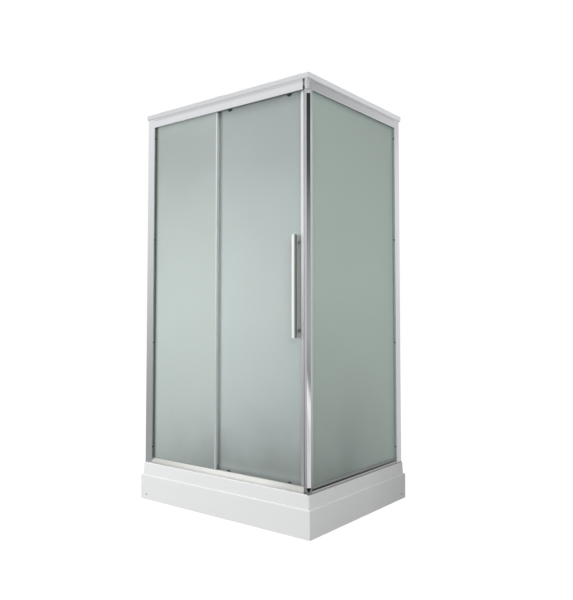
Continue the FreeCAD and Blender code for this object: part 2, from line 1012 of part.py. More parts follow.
def sill_nose(run, steps, joint):
    """A slope in steps from the glass slot to the nose, over a rebate for the sealing joint."""
    rise = (size.sill_height - size.sill_nose) / steps
    tread = (run + size.sill_out) / steps
    corners = []
    for step in range(steps):
        inner, level = run - step * tread, size.sill_height - step * rise
        corners.append((inner, level))
        corners.append((inner - tread + size.sill_ledge, level - rise))
    return corners + [
        (-size.sill_out, size.sill_nose),
        (-size.sill_out, joint),
        (size.sill_joint_depth, joint),
        (size.sill_joint_depth, 0),
    ]


def front_sill():
    wall, high = size.rail_wall, size.sill_height
    lip_inner = size.track_start + size.lip_wall
    lip_top = size.sill_track + size.lip_height
    section = [
        (rail_depth, 0),
        (rail_depth, size.sill_track + size.sill_guard),
        (size.track_back, size.sill_track + size.sill_guard),
        (size.track_back, size.sill_track),
        (lip_inner, size.sill_track),
        (lip_inner, lip_top),
        (size.track_start, lip_top),
        (size.track_start, size.sill_track),
        (slot_back + wall, size.sill_track),
        (slot_back + wall, high),
        (slot_back, high),
        (slot_back, size.sill_slot),
        (slot_front, size.sill_slot),
        (slot_front, high),
    ]
    section += sill_nose(slot_front - size.lip_wall, SILL_STEPS, size.sill_joint)
    chamber = rectangle(2 * wall, wall, slot_back, size.sill_nose - wall)
    base = (rail_start, frame_front, rim)
    return extruded("front_sill", "x", [section, chamber], sill_end - rail_start, base)


def side_sill():
    wall, high = size.rail_wall, size.sill_height
    section = [
        (size.side_rail_depth, 0),
        (size.side_rail_depth, size.sill_tail),
        (side_slot_back + wall, size.sill_tail),
        (side_slot_back + wall, high),
        (side_slot_back, high),
        (side_slot_back, size.sill_slot),
        (side_slot_front, size.sill_slot),
        (side_slot_front, high),
    ]
    section += sill_nose(side_slot_front - size.lip_wall, 1, size.side_sill_joint)
    chamber = rectangle(2 * wall, wall, side_slot_back, size.sill_nose - wall)
    start = frame_front + size.foot_side
    base = (frame_right, start, rim)
    return extruded("side_sill", "x", [section, chamber], side_rail_end - start, base, ALONG_Y)


# Near corner

def corner_column():
    """A corner extrusion with a notch for the chrome strip, a glass slot and a striking edge."""
    wall = size.profile_wall
    section = [
        (-size.column_front, 0),
        (-size.trim_front, size.trim_rise),
        (-size.trim_front, size.trim_side),
        (0, size.trim_side),
        (0, size.column_side),
        (-side_slot_front, size.column_side),
        (-side_slot_front, size.column_side - size.column_slot),
        (-side_slot_back, size.column_side - size.column_slot),
        (-side_slot_back, size.column_depth),
        (-size.column_inner, size.column_depth),
        (-size.column_inner, size.column_step),
        (-size.column_front, size.column_step),
    ]
    front_chamber = rectangle(
        -size.column_front + wall,
        size.trim_rise + wall,
        -size.trim_front - wall,
        size.column_side - size.column_slot - wall,
    )
    back_chamber = rectangle(
        -size.column_inner + wall,
        size.column_step + wall,
        -side_slot_back - wall,
        size.column_depth - wall,
    )
    base = (frame_right, frame_front, sill_top)
    shapes = [section, front_chamber, back_chamber]
    return extruded("corner_column", "z", shapes, rail_bottom - sill_top, base)


def trim_section():
    """The chrome strip's three-sided section in the column's notch, with a bowed face."""
    return [
        (-size.trim_front, size.trim_rise, size.trim_radius, 1),
        (0, size.trim_side),
        (-size.trim_front, size.trim_side),
    ]


def corner_trim():
    base = (frame_right, frame_front, sill_top)
    length = rail_bottom - sill_top - size.trim_setback
    return extruded("corner_trim", "z", [trim_section()], length, base)


def foot_outline(out, bevel_front, bevel_side, radius):
    """The foot seen from above, with a rounded near corner."""
    return [
        (-size.foot_front, -out),
        (-bevel_front, -out, radius, 1),
        (out, bevel_side),
        (out, size.foot_side),
        (-size.foot_front, size.foot_side),
    ]


def corner_foot():
    """The cap that joins the two sills and flares from the chrome strip down to the rim."""
    base = (frame_right, frame_front, rim)
    corner = size.foot_round - size.foot_flare
    bottom = foot_outline(size.foot_flare, corner, corner, size.foot_round)
    top = foot_outline(as_size(0), size.trim_front, size.trim_side, size.trim_radius)
    body = extruded("corner_foot", "z", [bottom], size.sill_nose, base)
    loft(body, "AdditiveLoft", [(size.sill_nose, bottom), (size.sill_height, top)])
    return body


def corner_connector():
    """A block with a rounded front, a cap above the chrome strip and arms that plug into the rails."""
    base = (frame_right, frame_front, rail_bottom)
    start, end, inset = size.connector_start, size.connector_end, size.connector_inset
    back_end = size.column_side - size.glass_bite - size.fit_gap
    outline = [
        (-end, inset, size.connector_radius, 1),
        (-start, inset),
        (0, inset),
        (0, back_end),
        (-end, back_end),
    ]
    body = extruded("corner_connector", "z", [outline], size.rail_height, base)
    grow(body, "z", -size.trim_setback, size.trim_setback, [trim_section()])
    side_face = size.rail_wall + size.arm_inset
    front_face = side_face + size.arm_setback
    low = size.shelf_height + side_face
    high = size.rail_height - side_face
    front_arm = rectangle(front_face, low, front_face + size.arm_depth, high)
    grow(body, "x", -size.connector_arm, size.connector_arm - start, [front_arm])
    side_arm = rectangle(-side_face - size.arm_depth, low, -side_face, high)
    grow(body, "y", inset, size.connector_arm - inset, [side_arm])
    return body


# Cornice and roof

def cornice(label, length, base, turn, mitre):
    """A channel with a face that leans out and a rounded lower edge, open to the roof."""
    wall, high = size.cornice_wall, size.cornice_height
    bend, edge, lean = size.cornice_round, size.cornice_edge, size.cornice_lean
    section = [
        (lean + bend, 0),
        (size.cornice_base, 0),
        (size.cornice_base, wall),
        (lean + bend, wall, bend - wall, -1),
        (lean + wall, bend),
        (wall, high - wall),
        (size.cornice_cap, high - wall),
        (size.cornice_cap, high),
        (edge, high, edge, 1),
        (0, high - edge),
        (lean, bend, bend, 1),
    ]
    body = extruded(label, "x", [section], length, base, turn)
    cut(body, "z", -size.overrun, high + 2 * size.overrun, [mitre])
    return body


cornice_left, cornice_right = frame_left - size.cornice_overhang, frame_right + size.cornice_overhang
cornice_front, cornice_back = frame_front - size.cornice_overhang, back


def cornices():
    base = size.cornice_base
    front_length = cornice_right - cornice_left
    side_length = cornice_back - cornice_front
    front_base = (cornice_left, cornice_front, cornice_bottom)
    side_base = (cornice_right, cornice_front, cornice_bottom)
    return [
        cornice("front_cornice", front_length, front_base, ALONG_X, mitre_end(front_length, base)),
        cornice("side_cornice", side_length, side_base, ALONG_Y, mitre_start(base)),
    ]


def roof_panel():
    """A sheet with a raised field, ledges on the two wall sides and tongues on the front edge."""
    body = new_body("roof_panel", (cornice_left, cornice_front, roof_line))
    wide, deep = cornice_right - cornice_left, cornice_back - cornice_front
    wall, setback = size.roof_wall, size.roof_setback
    grow(body, "z", 0, wall, [rectangle(0, setback, wide - setback, deep)])
    for start_share, end_share in TONGUE_SHARES:
        tongue = rectangle(start_share * wide, size.roof_tongue_setback, end_share * wide, setback)
        grow(body, "z", 0, wall, [tongue])
    left_end, back_end = size.cornice_base, wide - size.cornice_base
    drop = size.cornice_height
    skirts = [(0, left_end), (wall, left_end), (wall, deep - wall), (back_end, deep - wall),
              (back_end, deep), (0, deep)]
    ledge = size.roof_ledge
    ledges = [(0, left_end), (ledge, left_end), (ledge, deep - ledge), (back_end, deep - ledge),
              (back_end, deep), (0, deep)]
    grow(body, "z", -drop, drop, [skirts])
    grow(body, "z", -drop, wall, [ledges])
    inset, draft, rise = size.roof_field_inset, size.roof_field_draft, size.roof_field_height

    def field(offset):
        return rectangle(offset, offset, wide - offset, deep - offset)

    loft(body, "AdditiveLoft", [(wall, field(inset)), (wall + rise, field(inset + draft))])
    loft(body, "SubtractiveLoft", [(0, field(inset + wall)), (rise, field(inset + draft + wall))])
    return body


# Wall panels

def wall_panel(label, length, base, turn, holes=()):
    """A moulded sheet, smooth inside, with a rim and ribs on its outer side."""
    body = new_body(label, base, turn)
    wall, rib, deep = size.panel_wall, size.panel_rib, size.panel_depth
    grow(body, "x", 0, length, [rectangle(0, 0, deep, post_length)])
    pitch = (length - rib) / PANEL_FIELDS
    fields = [
        rectangle(rib + step * pitch, rib, (step + 1) * pitch, post_length - rib)
        for step in range(PANEL_FIELDS)
    ]
    cut(body, "y", -size.overrun, size.overrun + deep - wall, fields)
    if holes:
        cut(body, "y", -size.overrun, 2 * size.overrun + deep, holes)
    return body


def wall_panels():
    left_start = frame_front + size.post_depth
    left_end = frame_back - size.corner_post
    rear_start = frame_left + size.corner_post
    rear_end = frame_right - size.post_depth
    tail = size.thread_radius + size.fit_gap
    half = size.inlet_spread / 2
    along_wall = left_end - size.mixer_shift
    holes = [Round(along_wall + s * half, size.mixer_height - rim, tail) for s in (-1, 1)]
    return [
        wall_panel(
            "left_wall_panel",
            left_end - left_start,
            (frame_left, left_end, rim),
            FreeCAD.Rotation(UP, -QUARTER_TURN),
            holes,
        ),
        wall_panel(
            "rear_wall_panel",
            rear_end - rear_start,
            (rear_end, frame_back, rim),
            FreeCAD.Rotation(UP, HALF_TURN),
        ),
    ]


def rear_left_post():
    half = size.corner_post / 2
    base = (frame_left + half, frame_back - half, rim)
    return extruded("rear_left_post", "z", tube(size.corner_post, size.profile_wall), post_length, base)


# Glazing

glass_low = rim + size.sill_slot
glass_high = rail_bottom + size.shelf_height - size.gasket_wall
groove_floor = size.groove_depth - size.gasket_wall


def fixed_glass():
    start = rail_start - groove_floor
    end = fixed_edge - size.edge_web
    pane = rectangle(0, 0, end - start, glass_high - glass_low)
    base = (start, frame_front + size.front_recess, glass_low)
    return extruded("fixed_glass", "y", [pane], size.glass_thickness, base)


def side_glass():
    start = frame_front + size.column_side - size.glass_bite
    end = side_rail_end + groove_floor
    pane = rectangle(0, 0, end - start, glass_high - glass_low)
    base = (frame_right - size.side_recess, start, glass_low)
    return extruded("side_glass", "y", [pane], size.glass_thickness, base, ALONG_Y)


def gasket_section(groove_front):
    """A strip that fills the groove round the glass, with a lip on the outer face."""
    wall, thick = size.gasket_wall, size.glass_thickness
    floor = -size.groove_depth
    inner_front = groove_front + wall
    inner_back = inner_front + thick
    return [
        (floor, groove_front),
        (size.gasket_lip, groove_front),
        (size.gasket_lip, inner_front),
        (floor + wall, inner_front),
        (floor + wall, inner_back),
        (0, inner_back),
        (0, inner_back + wall),
        (floor, inner_back + wall),
    ]


def glazing_gaskets():
    length = rail_bottom - sill_top
    front_section = gasket_section(slot_front)
    side_section = [(-x, y) for x, y in reversed(gasket_section(side_slot_front))]
    front_base = (rail_start, frame_front, sill_top)
    side_base = (frame_right, side_rail_end, sill_top)
    return group("glazing_gaskets", [
        extruded("front_gasket", "z", [front_section], length, front_base),
        extruded("side_gasket", "z", [side_section], length, side_base, ALONG_Y),
    ])


def channel(wide, deep, web, slot):
    """A profile that slips over a glass edge from its closed side."""
    near, far = (deep - slot) / 2, (deep + slot) / 2
    return [
        (0, 0),
        (wide, 0),
        (wide, deep),
        (0, deep),
        (0, far),
        (wide - web, far),
        (wide - web, near),
        (0, near),
    ]


slip_slot = size.glass_thickness + 2 * size.fit_gap


def fixed_edge_profile():
    section = channel(size.edge_width, size.edge_depth, size.edge_web, slip_slot)
    middle = size.front_recess + size.glass_thickness / 2
    base = (fixed_edge - size.edge_width, frame_front + middle - size.edge_depth / 2, sill_top)
    return extruded("fixed_edge_profile", "z", [section], rail_bottom - sill_top, base)


def fixed_edge_seal():
    """A lip that closes the gap between the fixed panel and the door."""
    start = size.front_recess + size.glass_thickness / 2 + size.edge_depth / 2
    reach = size.door_recess - size.running_gap - start
    section = rectangle(0, 0, size.seal_width, reach)
    low = sill_top + size.seal_clear
    high = rail_bottom - size.seal_clear
    base = (fixed_edge - size.edge_width + size.seal_inset, frame_front + start, low)
    return extruded("fixed_edge_seal", "z", [section], high - low, base)


# Sliding door

def door_glass():
    high = rail_bottom + size.door_lift - door_bottom
    end = door_right - size.door_edge_width / 2
    base = (door_left, frame_front + size.door_recess, door_bottom)
    body = extruded("door_glass", "y", [rectangle(0, 0, end - door_left, high)], size.glass_thickness, base)
    drilled = size.bolt_radius + size.fit_gap
    holes = [
        Round(place - door_left, height - door_bottom, drilled)
        for place in roller_places.values()
        for height in (lower_bolt, upper_bolt)
    ]
    handle_drilled = size.handle_bolt + size.fit_gap
    holes += [
        Round(handle_place - door_left, height - door_bottom, handle_drilled) for height in standoff_heights
    ]
    cut(body, "y", -size.overrun, size.glass_thickness + 2 * size.overrun, holes)
    return body


def door_edge_profile():
    """A channel on the door's edge with a hollow front that closes beside the corner column."""
    wide, wall = size.door_edge_width, size.profile_wall
    start, end, reach, gap = size.closer_start, size.closer_end, size.closer_reach, size.closer_gap
    first, _, *rest = channel(wide, size.door_edge_depth, wide / 2 - size.fit_gap, slip_slot)
    section = [first, (start, 0), (start, -reach), (end, -reach), (end, -gap), (wide, -gap), *rest]
    chamber = rectangle(start + wall, -reach + wall, end - wall, -gap - wall)
    depth = size.door_recess + size.glass_thickness / 2 - size.door_edge_depth / 2
    low = sill_top + size.running_gap
    base = (door_right - wide, frame_front + depth, low)
    length = rail_bottom + size.door_edge_lift - low
    return extruded("door_edge_profile", "z", [section, chamber], length, base)


def magnet(label, place, height):
    """A magnetic strip on one side of the closing gap."""
    depth = size.door_recess + size.glass_thickness / 2 - size.magnet_width / 2
    low = sill_top + size.running_gap
    base = (place, frame_front + depth, low)
    section = rectangle(0, 0, height, size.magnet_width)
    return extruded(label, "z", [section], rail_bottom - low, base)


def handle_bar():
    body = turned(
        "handle_bar",
        rectangle(as_size(0), 0, size.handle_radius, size.handle_length),
        (handle_place, frame_front + size.door_recess - size.handle_reach, handle_low),
    )
    soften(body, size.handle_round, lambda edge: along(edge, x=size.handle_radius))
    heights = [height - handle_low for height in standoff_heights]
    sockets = [Round(0, height, size.standoff_radius + size.bore_gap) for height in heights]
    cut(body, "y", size.handle_radius - size.standoff_seat, size.standoff_seat + size.overrun, sockets)
    return body


def handle_standoffs():
    start = size.handle_reach - size.handle_radius + size.standoff_seat
    through = size.glass_thickness + size.cap_seat
    section = [
        (0, -start),
        (size.standoff_radius, -start),
        (size.standoff_radius, 0),
        (size.handle_bolt, 0),
        (size.handle_bolt, through),
        (0, through),
    ]
    depth = frame_front + size.door_recess
    return group("handle_standoffs", [
        turned("standoff", section, (handle_place, depth, height), facing(0, 1, 0))
        for height in standoff_heights
    ])


def handle_caps():
    bore = size.handle_bolt + size.bore_gap
    section = [
        (bore, 0),
        (size.cap_radius, 0),
        (size.cap_radius, size.cap_height / 2),
        (size.cap_radius / 2, size.cap_height),
        (0, size.cap_height),
        (0, size.cap_seat),
        (bore, size.cap_seat),
    ]
    depth = frame_front + door_back
    return group("handle_caps", [
        turned("cap", section, (handle_place, depth, height), facing(0, 1, 0))
        for height in standoff_heights
    ])


# Door rollers

def roller_bolts():
    bevel, high = size.bolt_cap_bevel, size.bolt_cap_height
    end = size.glass_thickness + size.bracket_wall

    def section(cap):
        return [
            (0, -high),
            (cap - bevel, -high),
            (cap, bevel - high),
            (cap, 0),
            (size.bolt_radius, 0),
            (size.bolt_radius, end),
            (0, end),
        ]

    depth = frame_front + size.door_recess
    rows = ((lower_bolt, size.lower_cap_radius), (upper_bolt, size.bolt_cap_radius))
    return group("roller_bolts", [
        turned("roller_bolt", section(cap), (place, depth, height), facing(0, 1, 0))
        for place in roller_places.values()
        for height, cap in rows
    ])


def add_axle(body, start, height):
    """An axle with a head that keeps the wheel on it."""
    end = size.wheel_start + size.wheel_width + size.fit_gap - door_back
    grow(body, "y", start, end - start, [Round(0, height, size.axle_radius)])
    grow(body, "y", end, size.axle_head_height, [Round(0, height, size.axle_head)])


def roller_bracket(label, place):
    half = size.bracket_width / 2
    plate = rounded(-half, -size.bracket_drop, half, size.bracket_top, size.bracket_corner)
    bolt = Round(0, size.roller_bolt_rise, size.bolt_radius + size.bore_gap)
    base = (place, frame_front + door_back, rail_bottom)
    body = extruded(label, "y", [plate, bolt], size.bracket_wall, base)
    add_axle(body, size.bracket_wall, wheel_axis)
    return body


def wheel(label, radius, place, height):
    bore = size.axle_radius + size.bore_gap
    wide, bevel = size.wheel_width, size.wheel_bevel
    section = [
        (bore, 0),
        (radius - bevel, 0),
        (radius, bevel),
        (radius, wide - bevel),
        (radius - bevel, wide),
        (bore, wide),
    ]
    return turned(label, section, (place, frame_front + size.wheel_start, height), facing(0, 1, 0))


def lower_housing(label, place):
    """A guide behind the glass in which the sprung slider moves up and down."""
    half, wall, deep = size.housing_width / 2, size.bracket_wall, size.housing_depth
    guide = size.slider_width / 2 + size.running_gap
    roof = wall + size.slider_wall + 2 * size.running_gap
    opening = half - size.housing_lip
    section = [
        (-half, 0),
        (half, 0),
        (half, deep),
        (opening, deep),
        (opening, roof),
        (guide, roof),
        (guide, wall),
        (-guide, wall),
        (-guide, roof),
        (-opening, roof),
        (-opening, deep),
        (-half, deep),
    ]
    low = rim + size.housing_rise
    body = extruded(label, "z", [section], size.housing_height, (place, frame_front + door_back, low))
    bolt = Round(0, lower_bolt - low, size.bolt_radius + size.bore_gap)
    cut(body, "y", -size.overrun, size.overrun + wall, [bolt])
    return body


def release_slider(label, place):
    """The slider that holds the lower wheel down, with a tab to lift it."""
    half = size.slider_width / 2
    start = size.bracket_wall + size.running_gap
    low = rim + size.slider_rise
    body = new_body(label, (place, frame_front + door_back, low))
    grow(body, "y", start, size.slider_wall, [rectangle(-half, 0, half, size.slider_height)])
    tab = rectangle(-half, size.slider_height - size.tab_height, half, size.slider_height)
    grow(body, "y", start, size.tab_reach, [tab])
    add_axle(body, start + size.slider_wall, rim + lower_axis - low)
    return body


def bump_stops():
    """Rubber blocks on the track where the outer wheels end their travel."""
    clear = size.wheel_radius + size.running_gap
    places = (
        roller_places["left"] - door_travel - clear - size.stop_length,
        roller_places["right"] + clear,
    )
    section = rectangle(0, 0, size.stop_depth, size.stop_height)
    depth = frame_front + size.wheel_start
    height = rail_bottom + size.track_rise + size.track_wall
    return group("bump_stops", [
        extruded("bump_stop", "x", [section], size.stop_length, (place, depth, height)) for place in places
    ])


# Mixer and shower

def mixer_body():
    """A bar mixer with two inlets through the wall, a riser outlet and a spindle at each end."""
    body = new_body("mixer_body", (mixer_place, size.mixer_shift, size.mixer_height), facing(0, 1, 0))
    half, radius, bevel = size.mixer_length / 2, size.mixer_radius, size.mixer_bevel
    tip = half + size.spindle_length
    spin(body, [
        (0, -tip),
        (size.spindle_radius, -tip),
        (size.spindle_radius, -half),
        (radius - bevel, -half),
        (radius, bevel - half),
        (radius, half - bevel),
        (radius - bevel, half),
        (size.spindle_radius, half),
        (size.spindle_radius, tip),
        (0, tip),
    ])
    spread = size.inlet_spread / 2
    tail = size.mixer_reach + size.inlet_tail
    tails = [Round(0, side * spread, size.inlet_radius) for side in (-1, 1)]
    collars = [Round(0, side * spread, size.collar_radius) for side in (-1, 1)]
    threads = [Round(0, side * spread, size.thread_radius) for side in (-1, 1)]
    grow(body, "x", -tail, tail, tails)
    grow(body, "x", -tail, size.thread_length, threads)
    collar_length = size.mixer_reach - size.rosette_height
    grow(body, "x", -collar_length, collar_length, collars)
    grow(body, "y", -size.outlet_nut_height, size.outlet_nut_height, [Round(0, 0, size.outlet_nut_radius)])
    return body


def knob(label, side):
    bore, bevel = size.spindle_radius + size.bore_gap, size.knob_bevel
    deep = size.spindle_length
    section = [
        (bore, 0),
        (size.knob_radius, 0),
        (size.knob_radius, size.knob_length - bevel),
        (size.knob_radius - bevel, size.knob_length),
        (0, size.knob_length),
        (0, deep),
        (bore, deep),
    ]
    start = size.mixer_length / 2 + size.running_gap
    base = (mixer_place, size.mixer_shift + side * start, size.mixer_height)
    body = turned(label, section, base, facing(0, side, 0))
    half = size.knob_tab / 2
    low = (size.knob_length - size.knob_tab) / 2
    reach = size.knob_radius + size.knob_tab_reach
    grow(body, "x", size.spindle_radius + bevel, reach - size.spindle_radius - bevel,
         [rectangle(-half, low, half, low + size.knob_tab)])
    return body


def inlet_rosettes():
    bore = size.thread_radius + size.fit_gap
    section = [
        (bore, 0),
        (size.rosette_radius, 0),
        (size.rosette_radius, size.rosette_edge),
        (size.collar_radius, size.rosette_height),
        (bore, size.rosette_height),
    ]
    half = size.inlet_spread / 2
    places = [(wall_face, size.mixer_shift + side * half, size.mixer_height) for side in (-1, 1)]
    return group("inlet_rosettes", [turned("rosette", section, place, facing(1, 0, 0)) for place in places])


riser_low = size.mixer_height + size.outlet_nut_height
riser_rise = size.riser_top - riser_low
drop_low = riser_rise - size.drop_bend - size.drop_length
ball_height = drop_low - size.neck_length - size.ball_radius / 2


def riser_pipe():
    """A bent pipe from the mixer to a ball over the bather's head."""
    body = new_body("riser_pipe", (mixer_place, size.mixer_shift, riser_low))
    profile = sketch_on(body, "z", 0)
    draw(profile, [Round(0, 0, size.riser_radius), Round(0, 0, size.riser_radius - size.riser_wall)])
    route = sketch_on(body, "y", 0)
    draw_line(route, [
        (0, 0),
        (0, riser_rise - size.riser_bend, size.riser_bend, -1),
        (size.riser_bend, riser_rise),
        (size.arm_reach - size.drop_bend, riser_rise, size.drop_bend, -1),
        (size.arm_reach, riser_rise - size.drop_bend),
        (size.arm_reach, drop_low),
    ], closed=False)
    pipe = body.newObject("PartDesign::AdditivePipe", "RiserSweep")
    pipe.Profile = profile
    pipe.Spine = route
    ball_top = ball_height + size.ball_radius / 2
    grow(body, "z", ball_top, drop_low - ball_top, [Round(size.arm_reach, 0, size.neck_radius)])
    grow(body, "z", drop_low, size.riser_wall, [Round(size.arm_reach, 0, size.riser_radius)])
    ball = body.newObject("PartDesign::AdditiveSphere", "RiserBall")
    bind(ball, "Radius", size.ball_radius)
    bind(ball, "Placement.Base.x", size.arm_reach)
    bind(ball, "Placement.Base.z", ball_height)
    return body


def riser_bracket():
    body = new_body("riser_bracket", (mixer_place, size.mixer_shift, size.bracket_height))
    hole = size.riser_radius + size.fit_gap
    half = size.ring_height / 2
    grow(body, "z", -half, size.ring_height, [Round(0, 0, hole + size.ring_wall)])
    arm = Round(0, 0, size.bracket_arm / 2)
    grow(body, "x", -size.mixer_reach, size.mixer_reach, [arm])
    grow(body, "x", -size.mixer_reach, size.bracket_foot_height, [Round(0, 0, size.bracket_foot)])
    cut(body, "z", -half - size.overrun, size.ring_height + 2 * size.overrun, [Round(0, 0, hole)])
    return body


def shower_head():
    """A flat overhead rose on a ball socket."""
    cavity = size.ball_radius + size.bore_gap
    mouth_height = root(cavity * cavity - size.socket_mouth * size.socket_mouth)
    low = -size.head_drop
    section = [
        (0, low),
        (size.head_radius, low),
        (size.head_radius, low + size.head_edge),
        (size.socket_radius, -size.head_shoulder),
        (size.socket_radius, mouth_height),
        (size.socket_mouth, mouth_height, cavity, -1),
        (0, -cavity),
    ]
    base = (mixer_place + size.arm_reach, size.mixer_shift, riser_low + ball_height)
    return turned("shower_head", section, base)


# Assembly

subparts = [
    shower_tray(),
    apron(
        "front_apron",
        size.tray_length,
        (left, front, 0),
        ALONG_X,
        False,
        mitre_end(size.tray_length, size.apron_foot),
        size.apron_screw_inset,
    ),
    apron(
        "side_apron",
        size.tray_width,
        (right, front, 0),
        ALONG_Y,
        True,
        mitre_start(size.apron_foot),
        size.tray_width - size.apron_screw_inset,
    ),
    apron_screws(),
    *frame_bars(),
    *feet(),
    drain_trap(),
    drain_flange(),
    drain_cover(),
    post(
        "left_front_post",
        (frame_left, frame_front, rim),
        ALONG_X,
        slot_front,
        slot_back,
        False,
    ),
    post(
        "right_rear_post",
        (frame_right, side_rail_end, rim),
        ALONG_Y,
        side_slot_front,
        side_slot_back,
        True,
    ),
    rear_left_post(),
    post_screws(),
    front_top_rail(),
    side_top_rail(),
    front_sill(),
    side_sill(),
    corner_column(),
    corner_trim(),
    corner_foot(),
    corner_connector(),
    *cornices(),
    roof_panel(),
    *wall_panels(),
    fixed_glass(),
    side_glass(),
    glazing_gaskets(),
    fixed_edge_profile(),
    fixed_edge_seal(),
    door_glass(),
    door_edge_profile(),
    magnet("door_magnet_seal", door_right, size.magnet_height),
    magnet("column_magnet_seal", frame_right - size.column_inner - size.strike_height, size.strike_height),
    handle_bar(),
    handle_standoffs(),
    handle_caps(),
    roller_bolts(),
    bump_stops(),
    mixer_body(),
    knob("flow_knob", 1),
    knob("temperature_knob", -1),
    inlet_rosettes(),
    riser_pipe(),
    riser_bracket(),
    shower_head(),
]
for side, place in roller_places.items():
    subparts += [
        roller_bracket(side + "_roller_bracket", place),
        wheel(side + "_top_wheel", size.wheel_radius, place, rail_bottom + wheel_axis),
        lower_housing(side + "_lower_housing", place),
        release_slider(side + "_release_slider", place),
        wheel(side + "_lower_wheel", size.lower_wheel_radius, place, rim + lower_axis),
    ]
doc.recompute()

failed = [item.Label for item in doc.Objects if {"Invalid", "Error"} & set(item.State)]
if failed:
    raise RuntimeError("not built: " + ", ".join(failed))
for subpart in subparts:
    if subpart.Shape.isNull() or not subpart.Shape.isValid():
        raise RuntimeError("no valid shape: " + subpart.Label)

os.makedirs("parts", exist_ok=True)
for subpart in subparts:
    subpart.Shape.exportStep(f"parts/{subpart.Label}.step")
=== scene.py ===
"""Finishes, light and camera for the shower cabin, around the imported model."""
import math

import bpy
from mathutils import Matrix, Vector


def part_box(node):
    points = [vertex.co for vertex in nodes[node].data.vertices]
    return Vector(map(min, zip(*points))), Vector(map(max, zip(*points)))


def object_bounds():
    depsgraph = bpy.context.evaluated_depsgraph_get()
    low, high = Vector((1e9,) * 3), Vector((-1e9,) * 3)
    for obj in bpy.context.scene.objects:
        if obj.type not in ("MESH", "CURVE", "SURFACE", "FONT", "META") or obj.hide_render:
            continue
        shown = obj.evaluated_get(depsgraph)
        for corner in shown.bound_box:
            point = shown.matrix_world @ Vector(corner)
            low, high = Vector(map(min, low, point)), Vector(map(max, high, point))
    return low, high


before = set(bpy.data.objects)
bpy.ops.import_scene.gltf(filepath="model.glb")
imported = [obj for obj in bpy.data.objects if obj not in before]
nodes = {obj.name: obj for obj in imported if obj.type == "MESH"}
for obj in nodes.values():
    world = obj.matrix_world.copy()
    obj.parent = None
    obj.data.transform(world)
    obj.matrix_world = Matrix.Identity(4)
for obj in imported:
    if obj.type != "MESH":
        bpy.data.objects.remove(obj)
cad_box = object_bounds()

# The photograph's camera: pixels in its own frame of 573 by 600, metres and degrees
IMAGE_HEIGHT = 600
AXIS_ROW = 285.8
FOCAL_PIXELS = 659.46
CAMERA_PLACE = (2.3258, -2.8827, 1.0034)
CAMERA_YAW = 37.787
CAMERA_PITCH = 2.630
SENSOR_HEIGHT = 0.024
MILLIMETRES = 1000

# A share from nothing to all
FULL = (0, 1)


# Node helpers

def feed(tree, node, inputs):
    """Give a node's inputs constants, or links where a value is another node's socket."""
    for label, value in inputs.items():
        if isinstance(value, bpy.types.NodeSocket):
            tree.links.new(value, node.inputs[label])
        else:
            node.inputs[label].default_value = value


def add_node(tree, kind, inputs, **settings):
    """A node with its settings and inputs."""
    node = tree.nodes.new(kind)
    for label, value in settings.items():
        setattr(node, label, value)
    feed(tree, node, inputs)
    return node


def calculate(tree, operation, first, second):
    """One arithmetic node; each side is a socket or a number."""
    node = add_node(tree, "ShaderNodeMath", {0: first, 1: second}, operation=operation)
    return node.outputs["Value"]


def spread(tree, value, span, levels):
    """The value's span carried over to two levels, held at both ends."""
    node = add_node(tree, "ShaderNodeMapRange", {
        "Value": value,
        "From Min": span[0],
        "From Max": span[1],
        "To Min": levels[0],
        "To Max": levels[1],
    })
    return node.outputs["Result"]


def choose(tree, share, first, second):
    """First where the share is zero, second where it is one."""
    node = add_node(tree, "ShaderNodeMix", {"Factor": share, "A": first, "B": second})
    return node.outputs["Result"]


def ramp(tree, share, points):
    """The colour at a share, through the points (share, colour)."""
    node = add_node(tree, "ShaderNodeValToRGB", {"Fac": share})
    stops = node.color_ramp.elements
    while len(stops) < len(points):
        stops.new(0.5)
    for stop, (position, colour) in zip(stops, points):
        stop.position = position
        stop.color = (*colour, 1)
    return node.outputs["Color"]


def shade_curve(tree, value, span, points):
    """A grey level that follows the points (share of the span, level)."""
    greys = [(share, (level, level, level)) for share, level in points]
    return ramp(tree, spread(tree, value, span, FULL), greys)


def scaled(tree, colour, level):
    """A colour times a level."""
    inputs = {"Vector": colour, "Scale": level}
    node = add_node(tree, "ShaderNodeVectorMath", inputs, operation="SCALE")
    return node.outputs["Vector"]


def split(tree, vector):
    """The X, Y and Z of a vector."""
    return add_node(tree, "ShaderNodeSeparateXYZ", {"Vector": vector}).outputs


def object_place(tree):
    """The X, Y and Z of a point in its object's own metres."""
    return split(tree, add_node(tree, "ShaderNodeTexCoord", {}).outputs["Object"])


def facing(tree):
    """The X, Y and Z of the surface's normal."""
    return split(tree, add_node(tree, "ShaderNodeNewGeometry", {}).outputs["Normal"])


def noise(tree, scale, stretch=(1, 1, 1), detail=3.0):
    """Noise in the object's own metres, drawn out along an axis by a small stretch."""
    place = add_node(tree, "ShaderNodeTexCoord", {}).outputs["Object"]
    mapping = add_node(tree, "ShaderNodeMapping", {"Vector": place, "Scale": stretch})
    texture = add_node(tree, "ShaderNodeTexNoise", {
        "Vector": mapping.outputs["Vector"],
        "Scale": scale,
        "Detail": detail,
    })
    return texture.outputs["Fac"]


def bump(tree, height, strength, distance):
    """The normal of a surface that is raised by a share of a distance in metres."""
    node = add_node(tree, "ShaderNodeBump", {
        "Height": height,
        "Strength": strength,
        "Distance": distance,
    })
    return node.outputs["Normal"]


def new_material(name):
    """A material and its node tree."""
    material = bpy.data.materials.new(name)
    material.use_nodes = True
    return material, material.node_tree


def dress(tree, sockets):
    """Give the Principled shader its colour, roughness and the like."""
    feed(tree, tree.nodes["Principled BSDF"], sockets)


